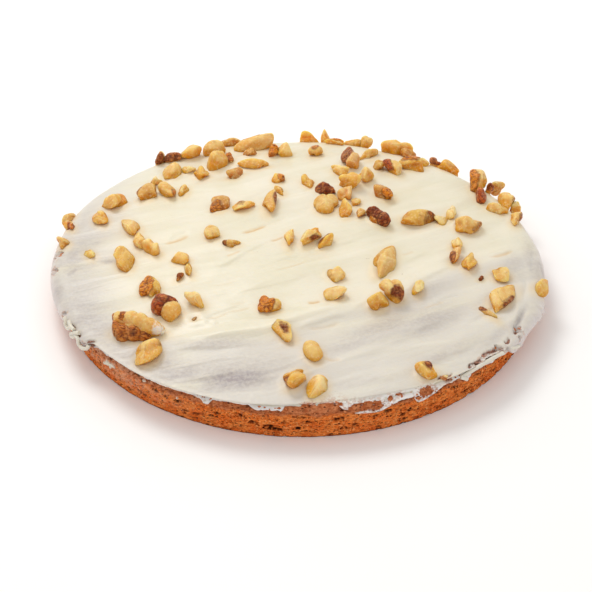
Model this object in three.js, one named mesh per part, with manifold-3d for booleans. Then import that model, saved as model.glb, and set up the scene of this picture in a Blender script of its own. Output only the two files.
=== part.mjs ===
// A one-layer carrot cake: a low round sponge whose side leans outward, spread with soft white
// frosting and scattered with chopped walnuts. Millimetres, +Z up, the base on z = 0, the front at -Y.
import * as THREE from 'three';
import { mergeVertices } from 'three/addons/utils/BufferGeometryUtils.js';
import Module from 'manifold-3d';

// ---- Driving sizes -------------------------------------------------------------------------------

const cake = {
  halfWidth: 124,        // frosted outline, left to right
  halfDepth: 121,        // frosted outline, front to back
  backFuller: 2.2,       // the outline stands further out at the back than at the front
  lopsided: 1.2,         // and at the left-back and front-right corners
  threeCornered: 0.6,
  shoulder: 20.5,        // height of the top just inside the rim
  crown: 8,              // rise of the dome from the shoulder to the middle
};

// The frosting folds over the side, except along the front, where it stops at the sponge's edge.
const rim = {
  bareMiddle: -92,       // degrees, middle of the bare front
  bareHalf: 53,          // degrees from there to where the frosting starts to fold over
  foldOver: 26,          // further degrees until it is folded fully down
  bareRound: 4,          // rounding of the frosting's edge at the bare front
  sideRound: 9,          // and where it folds over
  bareLip: 19.9,         // height of the frosting's widest line at the bare front
  startLip: 17.6,        // where the fold starts
  sideLip: 14,           // and round the rest of the cake
  lipDrop: 0.9,          // from the widest line down to the ragged lower edge
  ragged: 0.7,           // how much that lower edge wanders
  bareInset: 2.2,        // the bare front's edge inside the frosted outline
  scrape: { middle: -76, spread: 20, depth: 5 },   // where the knife dragged the frosting further in
};

const sponge = {
  baseInset: 6.4,        // the sponge's base inside the frosted outline
  edgeInset: 2.8,        // its widest line, just under the baked corner
  cornerDrop: 2.3,       // chamfer of the baked corner
  cornerIn: 2.6,
  edgeSkin: 1.6,         // frosting over the baked corner
  middleSkin: 3.2,       // frosting over the middle
  crag: 0.9,             // depth of the crumb's pits in the side
  hole: 2.6,             // depth of the few open holes
  holeShare: 0.045,      // how many of the places in the side are such holes
  evenEdge: 0.25,        // share of that depth kept along the base and under the corner
};

const knife = {
  stroke: 24,            // degrees, direction of the broad knife sweeps seen from above
  bend: 0.0011,          // how much the sweeps bow
  broad: { pitch: 31, rise: 0.5 },
  narrow: { pitch: 19, rise: 0.35 },
  bank: { inset: 13, width: 5, rise: 0.9, from: -80, to: -18, taper: 20 },   // along the front-right rim
};

const nut = {
  big: 15,               // a walnut piece this long is a piece of its own
  sunk: 0.35,            // depth in the frosting, as a share of the height that shows
  lumps: 3,              // swellings of each piece, and how far they stand out
  lumpRise: 0.14,
  cuts: 4,               // flat knife cuts of each piece, and how near the middle they lie
  cutNear: 0.62,
  cutFar: 0.82,
  steepest: 0.42,        // slope at which a piece on the rim stops leaning with the frosting
};

// Fineness of the surfaces: rings of the top, degrees down the rounded rim, heights up the side.
const mesh = {
  topRings: 16,
  rimRows: [18, 38, 58, 76, 90],
  wallRows: [0, 1.8, 4.6, 7.6, 10.6, 13.6],
  flatShares: [0.86, 0.6, 0.3],
};
const columns = mesh.topRings * 6;
const GAP = 0.3;         // between pieces that lie on each other

// Chopped walnuts: x, y, length, width, height above the frosting, turn in degrees from +X.
const walnuts = {
  frontLeft: [
    [-74, -66, 28, 15, 11, -14], [-61, -52, 18, 13, 9.5, -50], [-71, -33, 16, 11, 6, -75],
    [-68, -82, 15, 13, 8, 75], [-48, -47, 11, 7, 7, -50], [-57, -12, 11, 9, 5.5, -60],
    [-53, -20, 9, 4, 3, -70], [-57, -25, 6, 3, 2, 60], [-13, -52, 11, 9, 6, -20],
  ],
  frontRight: [
    [7, -83, 14, 9, 5, -75], [-1, -100, 15, 10, 8, 60], [99, -37, 26, 11, 5, 52],
    [-6, -69, 15, 8, 4.5, -55], [9, -105, 14, 10, 6, 70], [58, -94, 10, 8, 7.5, 5],
    [90, -50, 11, 4, 2, -50], [38, -49, 10, 9, 7, 60], [45, -42, 13, 10, 9, -25],
    [58, -36, 10, 6, 4.5, 75], [120, -23, 16, 8, 3.5, 55], [100, -18, 12, 10, 4, 60],
    [66, -96, 4, 3, 1.5, 30],
  ],
  middle: [
    [43, -15, 27, 12, 6.5, 72], [85, -12, 15, 8, 5, 80], [18, -27, 12, 9, 4, 60],
    [18, -43, 10, 9, 5.5, 0], [78, -7, 11, 5, 5, 78], [80, 4, 9, 6, 4.5, 82], [7, 4, 15, 8, 6, 62],
    [14, 1, 11, 6, 6, 50], [-4, 4, 14, 5, 4.5, 88], [-33, 1, 9, 6, 3.5, -20],
    [-43, 10, 12, 8, 5.5, -70],
  ],
  left: [
    [-85, -10, 19, 10, 6, -78], [-84, 21, 20, 9, 6, -72], [-102, 32, 14, 8, 5, -65],
    [-96, 46, 14, 13, 7.5, 0], [-79, 7, 12, 7, 4.5, -85], [-72, -2, 13, 7, 7, -58],
    [-104, 0, 8, 5, 3, -55], [-118, 15, 13, 8, 5, -58], [-118, 30, 13, 4, 3, -68],
    [-117, 43, 9, 7, 6.5, 84],
  ],
  backLeft: [
    [-79, 53, 14, 11, 6.5, 60], [-44, 85, 14, 10, 9, 62], [-24, 85, 17, 9, 5.5, -5],
    [-24, 108, 23, 9, 9.5, 2], [-40, 38, 14, 10, 5.5, 80], [-14, 38, 19, 8, 5, 80],
    [-76, 68, 8, 6, 5.5, 60], [-68, 54, 14, 9, 6.5, -60], [-60, 56, 11, 6, 3.5, 88],
    [-68, 77, 13, 11, 5.5, 60], [-59, 80, 8, 6, 4, 10], [-52, 75, 9, 8, 5.5, -45],
    [-70, 96, 12, 6, 5, 5], [-75, 94, 7, 6, 7.5, 40], [-59, 100, 13, 10, 8, 0],
    [-46, 103, 13, 10, 8.5, 0], [-37, 115, 12, 7, 5.5, -20], [-37, 92, 11, 5, 4, 80],
    [-33, 72, 11, 7, 5, 55], [-26, 99, 8, 6, 4.5, 20], [-13, 100, 11, 6, 5.5, 72],
    [-7, 100, 9, 8, 6, 0], [-28, 35, 13, 10, 4.5, 60], [-10, 67, 10, 7, 3.5, 88],
    [-9, 54, 10, 5, 3, -70],
  ],
  backRight: [
    [15, 36, 18, 14, 6.5, 88], [37, 66, 12, 9, 8.5, 70], [29, 86, 14, 11, 10, 80],
    [52, 79, 14, 8, 7.5, -65], [55, 107, 19, 10, 8.5, 8], [62, 85, 15, 10, 7, 0],
    [46, 50, 15, 10, 7, -60], [41, 23, 15, 11, 9, -50], [62, 27, 20, 12, 7.5, 14],
    [87, 22, 16, 14, 8, 25], [6, 63, 11, 7, 4, -70], [15, 51, 11, 8, 6, -25],
    [25, 49, 11, 8, 5, 75], [25, 32, 14, 7, 5.5, 88], [31, 42, 9, 5, 3, 80],
    [28, 59, 12, 10, 7.5, 0], [23, 77, 12, 8, 4.5, -40], [40, 98, 13, 9, 5.5, 80],
    [45, 84, 7, 6, 5, 0], [62, 101, 9, 7, 5.5, 0], [70, 91, 6, 5, 4.5, 0], [76, 94, 7, 5, 5, 30],
    [83, 89, 13, 8, 7, -20], [7, 119, 11, 5, 6.5, 0], [16, 120, 7, 6, 8.5, 60],
    [21, 115, 11, 4, 4, 0], [32, 116, 12, 5, 4.5, 0], [39, 114, 7, 6, 7.5, 0],
    [11, 102, 13, 8, 6, 82], [33, 28, 7, 5, 4, 88], [74, 26, 10, 7, 4, 80],
    [80, 35, 13, 5, 4.5, 75],
  ],
  right: [
    [97, 68, 17, 10, 10, 82], [110, 55, 15, 9, 7.5, 76], [97, 56, 13, 6, 6, -78],
    [103, 66, 6, 4, 6, 80], [109, 74, 8, 6, 6.5, 40], [105, 43, 12, 8, 5, -10],
    [116, 53, 9, 6, 6, 60], [114, 35, 14, 6, 5.5, 80],
  ],
};

// ---- Small helpers -------------------------------------------------------------------------------

const radians = THREE.MathUtils.degToRad;
const mix = THREE.MathUtils.lerp;
const smooth = THREE.MathUtils.smoothstep;

// Repeatable random numbers between 0 and 1.
function dice(seed) {
  let state = seed * 7919 + 17;
  const roll = () => {
    state = (state * 48271) % 2147483647;
    return state / 2147483647;
  };
  roll();
  roll();
  return roll;
}

// Gentle wandering round the rim, between -1 and 1.
function wander(angle, waves) {
  let sum = 0;
  for (const [count, shift] of waves) sum += Math.sin(count * angle + shift);
  return sum / waves.length;
}

// ---- The cake's outline and surfaces -------------------------------------------------------------

function ovalRadius(angle, halfWidth, halfDepth) {
  return 1 / Math.hypot(Math.cos(angle) / halfWidth, Math.sin(angle) / halfDepth);
}

// Degrees from one direction to another, 0 to 180.
function degreesFrom(angle, middle) {
  return Math.abs(THREE.MathUtils.euclideanModulo(THREE.MathUtils.radToDeg(angle) - middle + 180, 360) - 180);
}

// 0 along the bare front, 1 where the frosting is over the edge.
function wrap(angle) {
  return smooth(degreesFrom(angle, rim.bareMiddle), rim.bareHalf - 2, rim.bareHalf + 2);
}

// 0 where the fold starts, 1 where the frosting is folded fully down.
function fold(angle) {
  return smooth(degreesFrom(angle, rim.bareMiddle), rim.bareHalf, rim.bareHalf + rim.foldOver);
}

// The outline that the cake would have if the frosting were over the edge all round.
function cakeRadius(angle) {
  return ovalRadius(angle, cake.halfWidth, cake.halfDepth)
    + cake.backFuller * Math.sin(angle)
    - cake.lopsided * Math.sin(2 * angle)
    + cake.threeCornered * Math.sin(3 * angle);
}

// How far the knife dragged the frosting back from the edge.
function scraped(angle) {
  return rim.scrape.depth * Math.exp(-((degreesFrom(angle, rim.scrape.middle) / rim.scrape.spread) ** 2));
}

function frostedRadius(angle) {
  const uneven = 0.5 * wander(angle, [[5, 0.4], [9, 2.1], [14, 1.2]]);
  return cakeRadius(angle) + uneven - (1 - wrap(angle)) * (rim.bareInset + scraped(angle));
}

function rounding(angle) {
  return mix(rim.bareRound, rim.sideRound, wrap(angle));
}

function lipHeight(angle) {
  return mix(rim.bareLip, mix(rim.startLip, rim.sideLip, fold(angle)), wrap(angle));
}

// Height of the long knife sweeps and of the bank that the knife left along the front-right rim.
function knifeMarks(x, y) {
  const a = radians(knife.stroke);
  const along = x * Math.cos(a) + y * Math.sin(a);
  const across = -x * Math.sin(a) + y * Math.cos(a) - knife.bend * along * along;
  const angle = Math.atan2(y, x);
  const inset = frostedRadius(angle) - Math.hypot(x, y);
  const fade = smooth(inset, 6, 22);
  const sweeps = knife.broad.rise * Math.sin((2 * Math.PI * across) / knife.broad.pitch)
    + knife.narrow.rise * Math.sin((2 * Math.PI * across) / knife.narrow.pitch + 1.3);
  const degrees = THREE.MathUtils.radToDeg(angle);
  const { from, to, taper } = knife.bank;
  const reach = smooth(degrees, from, from + taper) * (1 - smooth(degrees, to - taper, to));
  const hump = Math.exp(-(((inset - knife.bank.inset) / knife.bank.width) ** 2));
  return sweeps * fade + knife.bank.rise * hump * reach;
}

// Top of the frosting at a place inside the rounding.
function frostingTop(x, y) {
  const angle = Math.atan2(y, x);
  const flat = frostedRadius(angle) - rounding(angle);
  const reach = Math.hypot(x, y) / flat;
  if (reach <= 1) return cake.shoulder + cake.crown * (1 - reach * reach) + knifeMarks(x, y);
  const out = Math.min((reach - 1) * flat / rounding(angle), 1);
  const drop = cake.shoulder - lipHeight(angle);
  return cake.shoulder - drop * (1 - Math.sqrt(1 - out * out)) + knifeMarks(x, y);
}

// ---- Skins of rings ------------------------------------------------------------------------------

class Skin {
  constructor() {
    this.points = [];
    this.faces = [];
  }

  ring(list) {
    return list.map((p) => this.points.push(p) - 1);
  }

  // Two rings with the same number of points.
  band(lower, upper) {
    const n = lower.length;
    for (let i = 0; i < n; i += 1) {
      const j = (i + 1) % n;
      this.faces.push([lower[i], lower[j], upper[j]], [lower[i], upper[j], upper[i]]);
    }
  }

  // A ring joined to one with half its points.
  halve(outer, inner) {
    const n = inner.length;
    for (let i = 0; i < n; i += 1) {
      const a = outer[2 * i];
      const b = outer[2 * i + 1];
      const c = outer[(2 * i + 2) % outer.length];
      const j = (i + 1) % n;
      this.faces.push([a, b, inner[i]], [b, c, inner[j]], [b, inner[j], inner[i]]);
    }
  }

  fan(ring, centre) {
    const middle = this.points.push(centre) - 1;
    ring.forEach((p, i) => this.faces.push([p, ring[(i + 1) % ring.length], middle]));
  }

  // A disc of rings with 6, 12, 18 ... points, so that its triangles stay even. Returns its rim.
  disc(rings, place) {
    let inner = [this.points.push(place(0, 0)) - 1];
    for (let k = 1; k <= rings; k += 1) {
      const outer = this.ring(around(6 * k, (angle) => place(k / rings, angle)));
      for (let side = 0; side < 6; side += 1) {
        for (let i = 0; i < k; i += 1) {
          const o = side * k + i;
          const q = side * (k - 1) + i;
          const innerHere = inner[q % inner.length];
          this.faces.push([outer[o], outer[(o + 1) % outer.length], innerHere]);
          if (i < k - 1) {
            this.faces.push([outer[(o + 1) % outer.length], inner[(q + 1) % inner.length], innerHere]);
          }
        }
      }
      inner = outer;
    }
    return inner;
  }
}

function around(count, place) {
  return Array.from({ length: count }, (_, i) => place((2 * Math.PI * i) / count));
}

function polar(radius, angle, z) {
  return [radius * Math.cos(angle), radius * Math.sin(angle), z];
}

// ---- Solids --------------------------------------------------------------------------------------

const wasm = await Module();
wasm.setup();

function solidFromSkin(skin) {
  return new wasm.Manifold(new wasm.Mesh({
    numProp: 3,
    vertProperties: new Float32Array(skin.points.flat()),
    triVerts: new Uint32Array(skin.faces.flat()),
  }));
}

function solidFromGeometry(geometry) {
  geometry.deleteAttribute('normal');
  geometry.deleteAttribute('uv');
  const merged = mergeVertices(geometry, 1e-4);
  return new wasm.Manifold(new wasm.Mesh({
    numProp: 3,
    vertProperties: new Float32Array(merged.attributes.position.array),
    triVerts: new Uint32Array(merged.index.array),
  }));
}

// The largest body, without any loose scrap that a cut left.
function mainBody(solid) {
  return solid.decompose().reduce((best, body) => (body.volume() > best.volume() ? body : best));
}

// The sponge's upper edge, where the baked corner begins, and its base.
function spongeEdge(angle) {
  return cakeRadius(angle) - sponge.edgeInset;
}

function spongeBase(angle) {
  return cakeRadius(angle) - sponge.baseInset;
}

// Top of the sponge at a share of the way from the middle to the corner.
function spongeTop(share) {
  const skin = mix(sponge.middleSkin, sponge.edgeSkin, smooth(share, 0.7, 1));
  return cake.shoulder + cake.crown * (1 - share * share) - skin;
}

// The crumb's pits and open holes in the side, as a depth inward.
function crumbDepth(column, row, rows) {
  const roll = dice(31 * column + 7 * row + 3);
  const pit = sponge.crag * roll() ** 1.6;
  const open = roll() < sponge.holeShare ? sponge.hole * (0.5 + 0.5 * roll()) : 0;
  const share = row === 0 || row === rows - 1 ? sponge.evenEdge : 1;
  return (pit + open) * share;
}

// The sponge, or with swell the same form grown by the gap and left smooth, to cut the frosting.
function makeSponge(swell = 0) {
  const skin = new Skin();
  const corner = spongeTop(1) - sponge.cornerDrop;
  const levels = mesh.wallRows.map((z) => z / corner);
  const wall = levels.map((level, row) => skin.ring(around(columns, (angle) => {
    const column = Math.round((angle / (2 * Math.PI)) * columns);
    const depth = swell ? 0 : crumbDepth(column, row, levels.length);
    const radius = mix(spongeBase(angle), spongeEdge(angle), level) + swell - depth;
    return polar(radius, angle, level * corner - (row === 0 ? swell : 0));
  })));
  wall.push(skin.ring(around(columns, (angle) => polar(spongeEdge(angle) + swell, angle, corner))));
  for (let row = 1; row < wall.length; row += 1) skin.band(wall[row - 1], wall[row]);

  const lid = (angle) => spongeEdge(angle) - sponge.cornerIn;
  const edge = skin.ring(around(columns, (angle) => polar(lid(angle) + swell, angle, spongeTop(1) + swell)));
  skin.band(wall.at(-1), edge);
  let outer = edge;
  for (const share of mesh.flatShares) {
    const inner = skin.ring(around(outer.length / 2, (angle) => (
      polar(share * lid(angle), angle, spongeTop(share) + swell))));
    skin.halve(outer, inner);
    outer = inner;
  }
  skin.fan(outer, [0, 0, spongeTop(0) + swell]);

  let foot = wall[0];
  for (const share of mesh.flatShares) {
    const inner = skin.ring(around(foot.length / 2, (angle) => (
      polar(share * spongeBase(angle), angle, -swell))));
    skin.halve([...foot].reverse(), [...inner].reverse());
    foot = inner;
  }
  skin.fan([...foot].reverse(), [0, 0, -swell]);
  return solidFromSkin(skin);
}

// The frosting's outer form: domed top, rounded rim, ragged lower edge; closed flat underneath.
function makeFrostingForm(swell = 0) {
  const skin = new Skin();
  const top = skin.disc(mesh.topRings, (share, angle) => {
    const radius = share * (frostedRadius(angle) - rounding(angle));
    const [x, y] = polar(radius, angle, 0);
    return [x, y, frostingTop(x, y) + swell];
  });
  let outer = top;
  for (const degrees of mesh.rimRows) {
    const row = skin.ring(around(columns, (angle) => {
      const out = Math.sin(radians(degrees));
      const drop = (cake.shoulder - lipHeight(angle)) * (1 - Math.cos(radians(degrees)));
      const radius = frostedRadius(angle) - rounding(angle) * (1 - out) + swell * out;
      const [x, y] = polar(radius, angle, 0);
      return [x, y, cake.shoulder - drop + knifeMarks(x, y) * (1 - out) + swell];
    }));
    skin.band(row, outer);
    outer = row;
  }
  const edge = skin.ring(around(columns, (angle) => {
    const uneven = rim.ragged * wander(angle, [[23, 0.3], [37, 1.9], [51, 4.1]]);
    const sunk = (1 - wrap(angle)) * Math.min(scraped(angle), 2);
    const height = lipHeight(angle) - rim.lipDrop - sunk + uneven - swell;
    return polar(frostedRadius(angle) - 0.5 + swell, angle, height);
  }));
  skin.band(edge, outer);
  const floor = 12;      // any height inside the sponge, which is cut out of this form
  const under = skin.ring(around(columns, (angle) => polar(spongeBase(angle) - rim.sideRound, angle, floor)));
  skin.band(under, edge);
  skin.fan([...under].reverse(), [0, 0, floor]);
  return solidFromSkin(skin);
}

// One chopped piece: a lumpy pebble with a few flat knife cuts, pressed a little into the frosting.
function makeWalnut([x, y, length, width, height, turn], index, swell = 0) {
  const roll = dice(index + 1);
  const lumps = Array.from({ length: nut.lumps }, () => ({
    way: new THREE.Vector3(roll() - 0.5, roll() - 0.5, roll() - 0.5).normalize(),
    count: 2 + 2.5 * roll(),
    shift: 6.28 * roll(),
  }));
  const cuts = Array.from({ length: nut.cuts }, () => ({
    way: new THREE.Vector3(roll() - 0.5, roll() - 0.5, 0.75 * (roll() - 0.35)).normalize(),
    depth: mix(nut.cutNear, nut.cutFar, roll()),
  }));
  const pebble = new THREE.IcosahedronGeometry(1, length >= nut.big ? 1 : 0);
  const place = pebble.attributes.position;
  const p = new THREE.Vector3();
  const reach = new THREE.Vector3();
  const fitted = [];
  for (let i = 0; i < place.count; i += 1) {
    p.fromBufferAttribute(place, i).normalize();
    const way = p.clone();
    for (const lump of lumps) {
      p.addScaledVector(way, nut.lumpRise * Math.cos(lump.count * way.dot(lump.way) + lump.shift));
    }
    for (const cut of cuts) p.addScaledVector(cut.way, -Math.max(0, p.dot(cut.way) - cut.depth));
    reach.max(new THREE.Vector3(Math.abs(p.x), Math.abs(p.y), Math.abs(p.z)));
    fitted.push(p.clone());
  }
  const full = (1 + nut.sunk) * height;
  const half = new THREE.Vector3(length / 2 + swell, width / 2 + swell, full / 2 + swell);
  const slope = surfaceTilt(x, y);
  const centre = new THREE.Vector3(x, y, frostingTop(x, y)).addScaledVector(
    new THREE.Vector3(0, 0, 1).applyQuaternion(slope), height - full / 2);
  fitted.forEach((q, i) => {
    q.divide(reach).multiply(half).applyAxisAngle(new THREE.Vector3(0, 0, 1), radians(turn));
    q.applyQuaternion(slope).add(centre);
    place.setXYZ(i, q.x, q.y, q.z);
  });
  return solidFromGeometry(pebble);
}

// How a piece leans at a place: with the frosting a little further in, and less than it on the rim.
function surfaceTilt(x, y) {
  const step = 3;
  const px = 0.97 * x;
  const py = 0.97 * y;
  const fall = new THREE.Vector2(
    frostingTop(px + step, py) - frostingTop(px - step, py),
    frostingTop(px, py + step) - frostingTop(px, py - step),
  ).divideScalar(2 * step).clampLength(0, nut.steepest);
  const up = new THREE.Vector3(-fall.x, -fall.y, 1).normalize();
  return new THREE.Quaternion().setFromUnitVectors(new THREE.Vector3(0, 0, 1), up);
}

// ---- Assembly ------------------------------------------------------------------------------------

const scatter = Object.values(walnuts).flat().map((bit, index) => ({ bit, index }));
const small = scatter.filter(({ bit }) => bit[2] < nut.big);
const big = scatter.filter(({ bit }) => bit[2] >= nut.big);

const spongeSolid = makeSponge();
const hollow = makeSponge(GAP);
const smallBits = wasm.Manifold.union(small.map(({ bit, index }) => makeWalnut(bit, index)));
const bigGrown = wasm.Manifold.union(big.map(({ bit, index }) => makeWalnut(bit, index, GAP)));
const frostingBare = makeFrostingForm();
const fusedBits = smallBits.subtract(bigGrown.subtract(frostingBare));
const frostingSolid = mainBody(frostingBare.add(fusedBits).subtract(hollow));
const frostingGrown = makeFrostingForm(GAP);

function material(color, roughness) {
  return new THREE.MeshStandardMaterial({ color, roughness, metalness: 0 });
}

function named(name, solid, look) {
  const { vertProperties, triVerts, numProp } = solid.getMesh();
  const geometry = new THREE.BufferGeometry();
  const flat = new Float32Array((vertProperties.length / numProp) * 3);
  for (let i = 0; i < flat.length / 3; i += 1) {
    for (let k = 0; k < 3; k += 1) flat[3 * i + k] = vertProperties[numProp * i + k];
  }
  geometry.setAttribute('position', new THREE.BufferAttribute(flat, 3));
  geometry.setIndex(new THREE.BufferAttribute(new Uint32Array(triVerts), 1));
  geometry.computeVertexNormals();
  const piece = new THREE.Mesh(geometry, look);
  piece.name = name;
  return piece;
}

const group = new THREE.Group();
group.add(named('sponge', spongeSolid, material(0xb4683c, 0.9)));
group.add(named('frosting', frostingSolid, material(0xf0ebdc, 0.55)));
let laid = frostingGrown;
big.forEach(({ bit, index }, order) => {
  const piece = mainBody(makeWalnut(bit, index).subtract(laid));
  laid = laid.add(makeWalnut(bit, index, GAP));
  group.add(named(`walnut_${String(order + 1).padStart(2, '0')}`, piece, material(0xd9ae68, 0.6)));
});

export default group;
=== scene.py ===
"""A one-layer carrot cake: a low round sponge whose side leans outward, soft white frosting spread over it
with a knife, and chopped walnuts. Sizes are in millimetres until a mesh is made. +Z is up, and the front is
at -Y."""

import math
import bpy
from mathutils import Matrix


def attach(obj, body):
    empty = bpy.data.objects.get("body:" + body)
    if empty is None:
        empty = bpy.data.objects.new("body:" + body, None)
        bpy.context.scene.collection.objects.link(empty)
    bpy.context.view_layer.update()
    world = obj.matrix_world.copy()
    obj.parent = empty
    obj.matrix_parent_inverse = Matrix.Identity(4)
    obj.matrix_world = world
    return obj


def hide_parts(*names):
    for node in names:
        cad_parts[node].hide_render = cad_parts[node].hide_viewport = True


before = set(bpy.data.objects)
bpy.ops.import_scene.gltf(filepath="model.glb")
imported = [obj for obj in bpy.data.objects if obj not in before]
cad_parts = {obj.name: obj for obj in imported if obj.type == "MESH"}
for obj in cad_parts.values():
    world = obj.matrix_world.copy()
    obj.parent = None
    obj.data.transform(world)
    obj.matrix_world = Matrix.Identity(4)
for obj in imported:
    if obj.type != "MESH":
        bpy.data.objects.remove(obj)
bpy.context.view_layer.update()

from types import SimpleNamespace as Sizes

import bmesh
import bpy
import numpy as np
from mathutils import Matrix, Vector

MM = 0.001

# ---- Sizes of the cake ------------------------------------------------------------------------------

cake = Sizes(
    half_width=124.0,       # frosted outline, left to right
    half_depth=121.0,       # frosted outline, front to back
    back_fuller=2.2,        # the outline stands further out at the back than at the front
    lopsided=1.2,           # and at the left-back and front-right corners
    three_cornered=0.6,
    waver=0.5,              # how much the outline wanders
    shoulder=20.5,          # height of the top just inside the rim
    crown=8.0,              # rise of the dome from the shoulder to the middle
)

# The frosting folds over the side, except along the front, where it stops at the sponge's edge.
rim = Sizes(
    bare_middle=-92.0,      # degrees, middle of the bare front
    bare_half=53.0,         # degrees from there to where the frosting starts to fold over
    fold_over=26.0,         # further degrees until it is folded fully down
    bare_round=4.0,         # rounding of the frosting's edge at the bare front
    side_round=9.0,         # and where it folds over
    bare_lip=19.9,          # height of the frosting's widest line at the bare front
    start_lip=17.6,         # where the fold starts
    side_lip=14.0,          # and round the rest of the cake
    lip_drop=0.9,           # from the widest line down to the ragged lower edge
    ragged=0.7,             # how much that lower edge wanders, and how much its fine teeth stand out
    fine_ragged=0.2,
    bare_inset=2.2,         # the bare front's edge inside the frosted outline
    drawn_middle=-93.5,     # degrees, middle and half width of the front whose lower edge is drawn
    drawn_half=72.0,
    scrape_middle=-76.0,    # degrees, where the knife dragged the frosting further in
    scrape_spread=20.0,
    scrape_depth=5.0,
)

sponge = Sizes(
    base_inset=6.4,         # the sponge's base inside the frosted outline
    edge_inset=2.8,         # its widest line, just under the baked corner
    corner_drop=2.3,        # chamfer of the baked corner
    corner_in=2.6,
    edge_skin=1.6,          # frosting over the baked corner
    middle_skin=3.2,        # frosting over the middle
    crust_start=2.8,        # below the widest line, where the side turns to crust
    crust_full=0.4,         # and where it is all crust
    crust_waver=1.2,
    calm_foot=1.2,          # height of the foot, which is less torn
    # The darker line along the base is a painted contact shadow.
    browned_foot=0.9,       # and of its darker line
    powdery_middle=-160.0,  # degrees, the left end where the side is pale and powdery
    columns=1440,           # fineness of its side
    row_height=0.5,
    corner_rows=5,
)

knife = Sizes(
    stroke=24.0,            # degrees, direction of the broad knife sweeps seen from above
    bend=0.0011,            # how much the sweeps bow
    broad_pitch=31.0,
    broad_rise=0.5,
    narrow_pitch=19.0,
    narrow_rise=0.35,
    narrow_shift=1.3,
    sweeps_from=6.0,        # inset from the outline where the sweeps start, and where they are full
    sweeps_full=22.0,
    steep_side=0.22,        # a fold's steep side, as a share of its gentle side
    fade=0.3,               # share of a fold, groove or slot over which each end fades out
    bank_inset=13.0,        # the bank that the knife left along the front-right rim
    bank_width=5.0,
    bank_rise=0.9,
    bank_from=-80.0,
    bank_to=-18.0,
    bank_taper=20.0,
)

nut = Sizes(
    large=14.0,             # a piece of this length or more has a finer mesh
    sunk=0.35,              # depth in the frosting, as a share of the height that shows
    lumps=3,                # broad waves of its surface, their rise a share of half the piece as all below is
    lump_rise=0.17,
    cuts=4,                 # flat knife cuts, how near the middle they lie, and the rounding of their edges
    cut_near=0.7,
    cut_far=0.9,
    cut_round=0.24,
    dents=3,                # hollows, with the least and the greatest depth, and their widths in radians
    dent_shallow=0.12,
    dent_deep=0.36,
    dent_narrow=0.35,
    dent_wide=0.75,
    chips=4,                # small breaks at its corners, and how near the middle they lie
    chip_near=0.7,
    chip_far=0.95,
    skinned_chip=0.2,       # share of the chips that have a brown line of skin
    lobe_chips=3,           # the same for a piece of round lobes
    lobe_chip_near=0.9,
    core=0.7,               # meat between the lobes, as a share of half the piece
    lobed_fill=0.94,        # such a piece fills its box more, so it is made a little smaller
    folded_share=0.3,       # a piece with this share of rind or more has rounded folds on that side
    folds=4,
    fold_spread=1.5,
    fold_width=0.62,        # radians
    furrow=0.2,             # depth of the furrows between them
    steepest=0.42,          # slope at which a piece on the rim stops leaning with the frosting
    darkest=0.93,           # tone of the darkest and the lightest piece of a colour
    lightest=1.08,
    rise_beside=0.9,        # how far the frosting rises against a piece at most
)

frosting = Sizes(
    rings=152,              # fineness of the top, a multiple of 8
    rim_steps=15,           # rows down the rounded rim
    hem_steps=9,            # rows from the lip to the lower edge
    film=0.35,              # thickness where it is smeared down the side
    bead=0.45,              # extra thickness along the smear's lower edge
    bead_width=0.13,        # as a share of the way from the lip to the edge
    bead_at=0.9,
    smeared_below=18.7,     # where the lower edge is this low, it is smeared on the side
    least_hem=0.55,         # the lower edge is at least so far below the lip
    gap=0.3,                # between the frosting and the sponge
    bare_depth=0.9,         # how far the bare spots in its edge go in past the sponge's side
    under_bare=0.7,         # and how much further its underside goes in there
    flap_middle=-18.5,      # degrees, the torn flap that sticks out over the right front, its half width
    flap_spread=5.5,
    flap_out=2.4,           # and how far it sticks out
)

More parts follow.
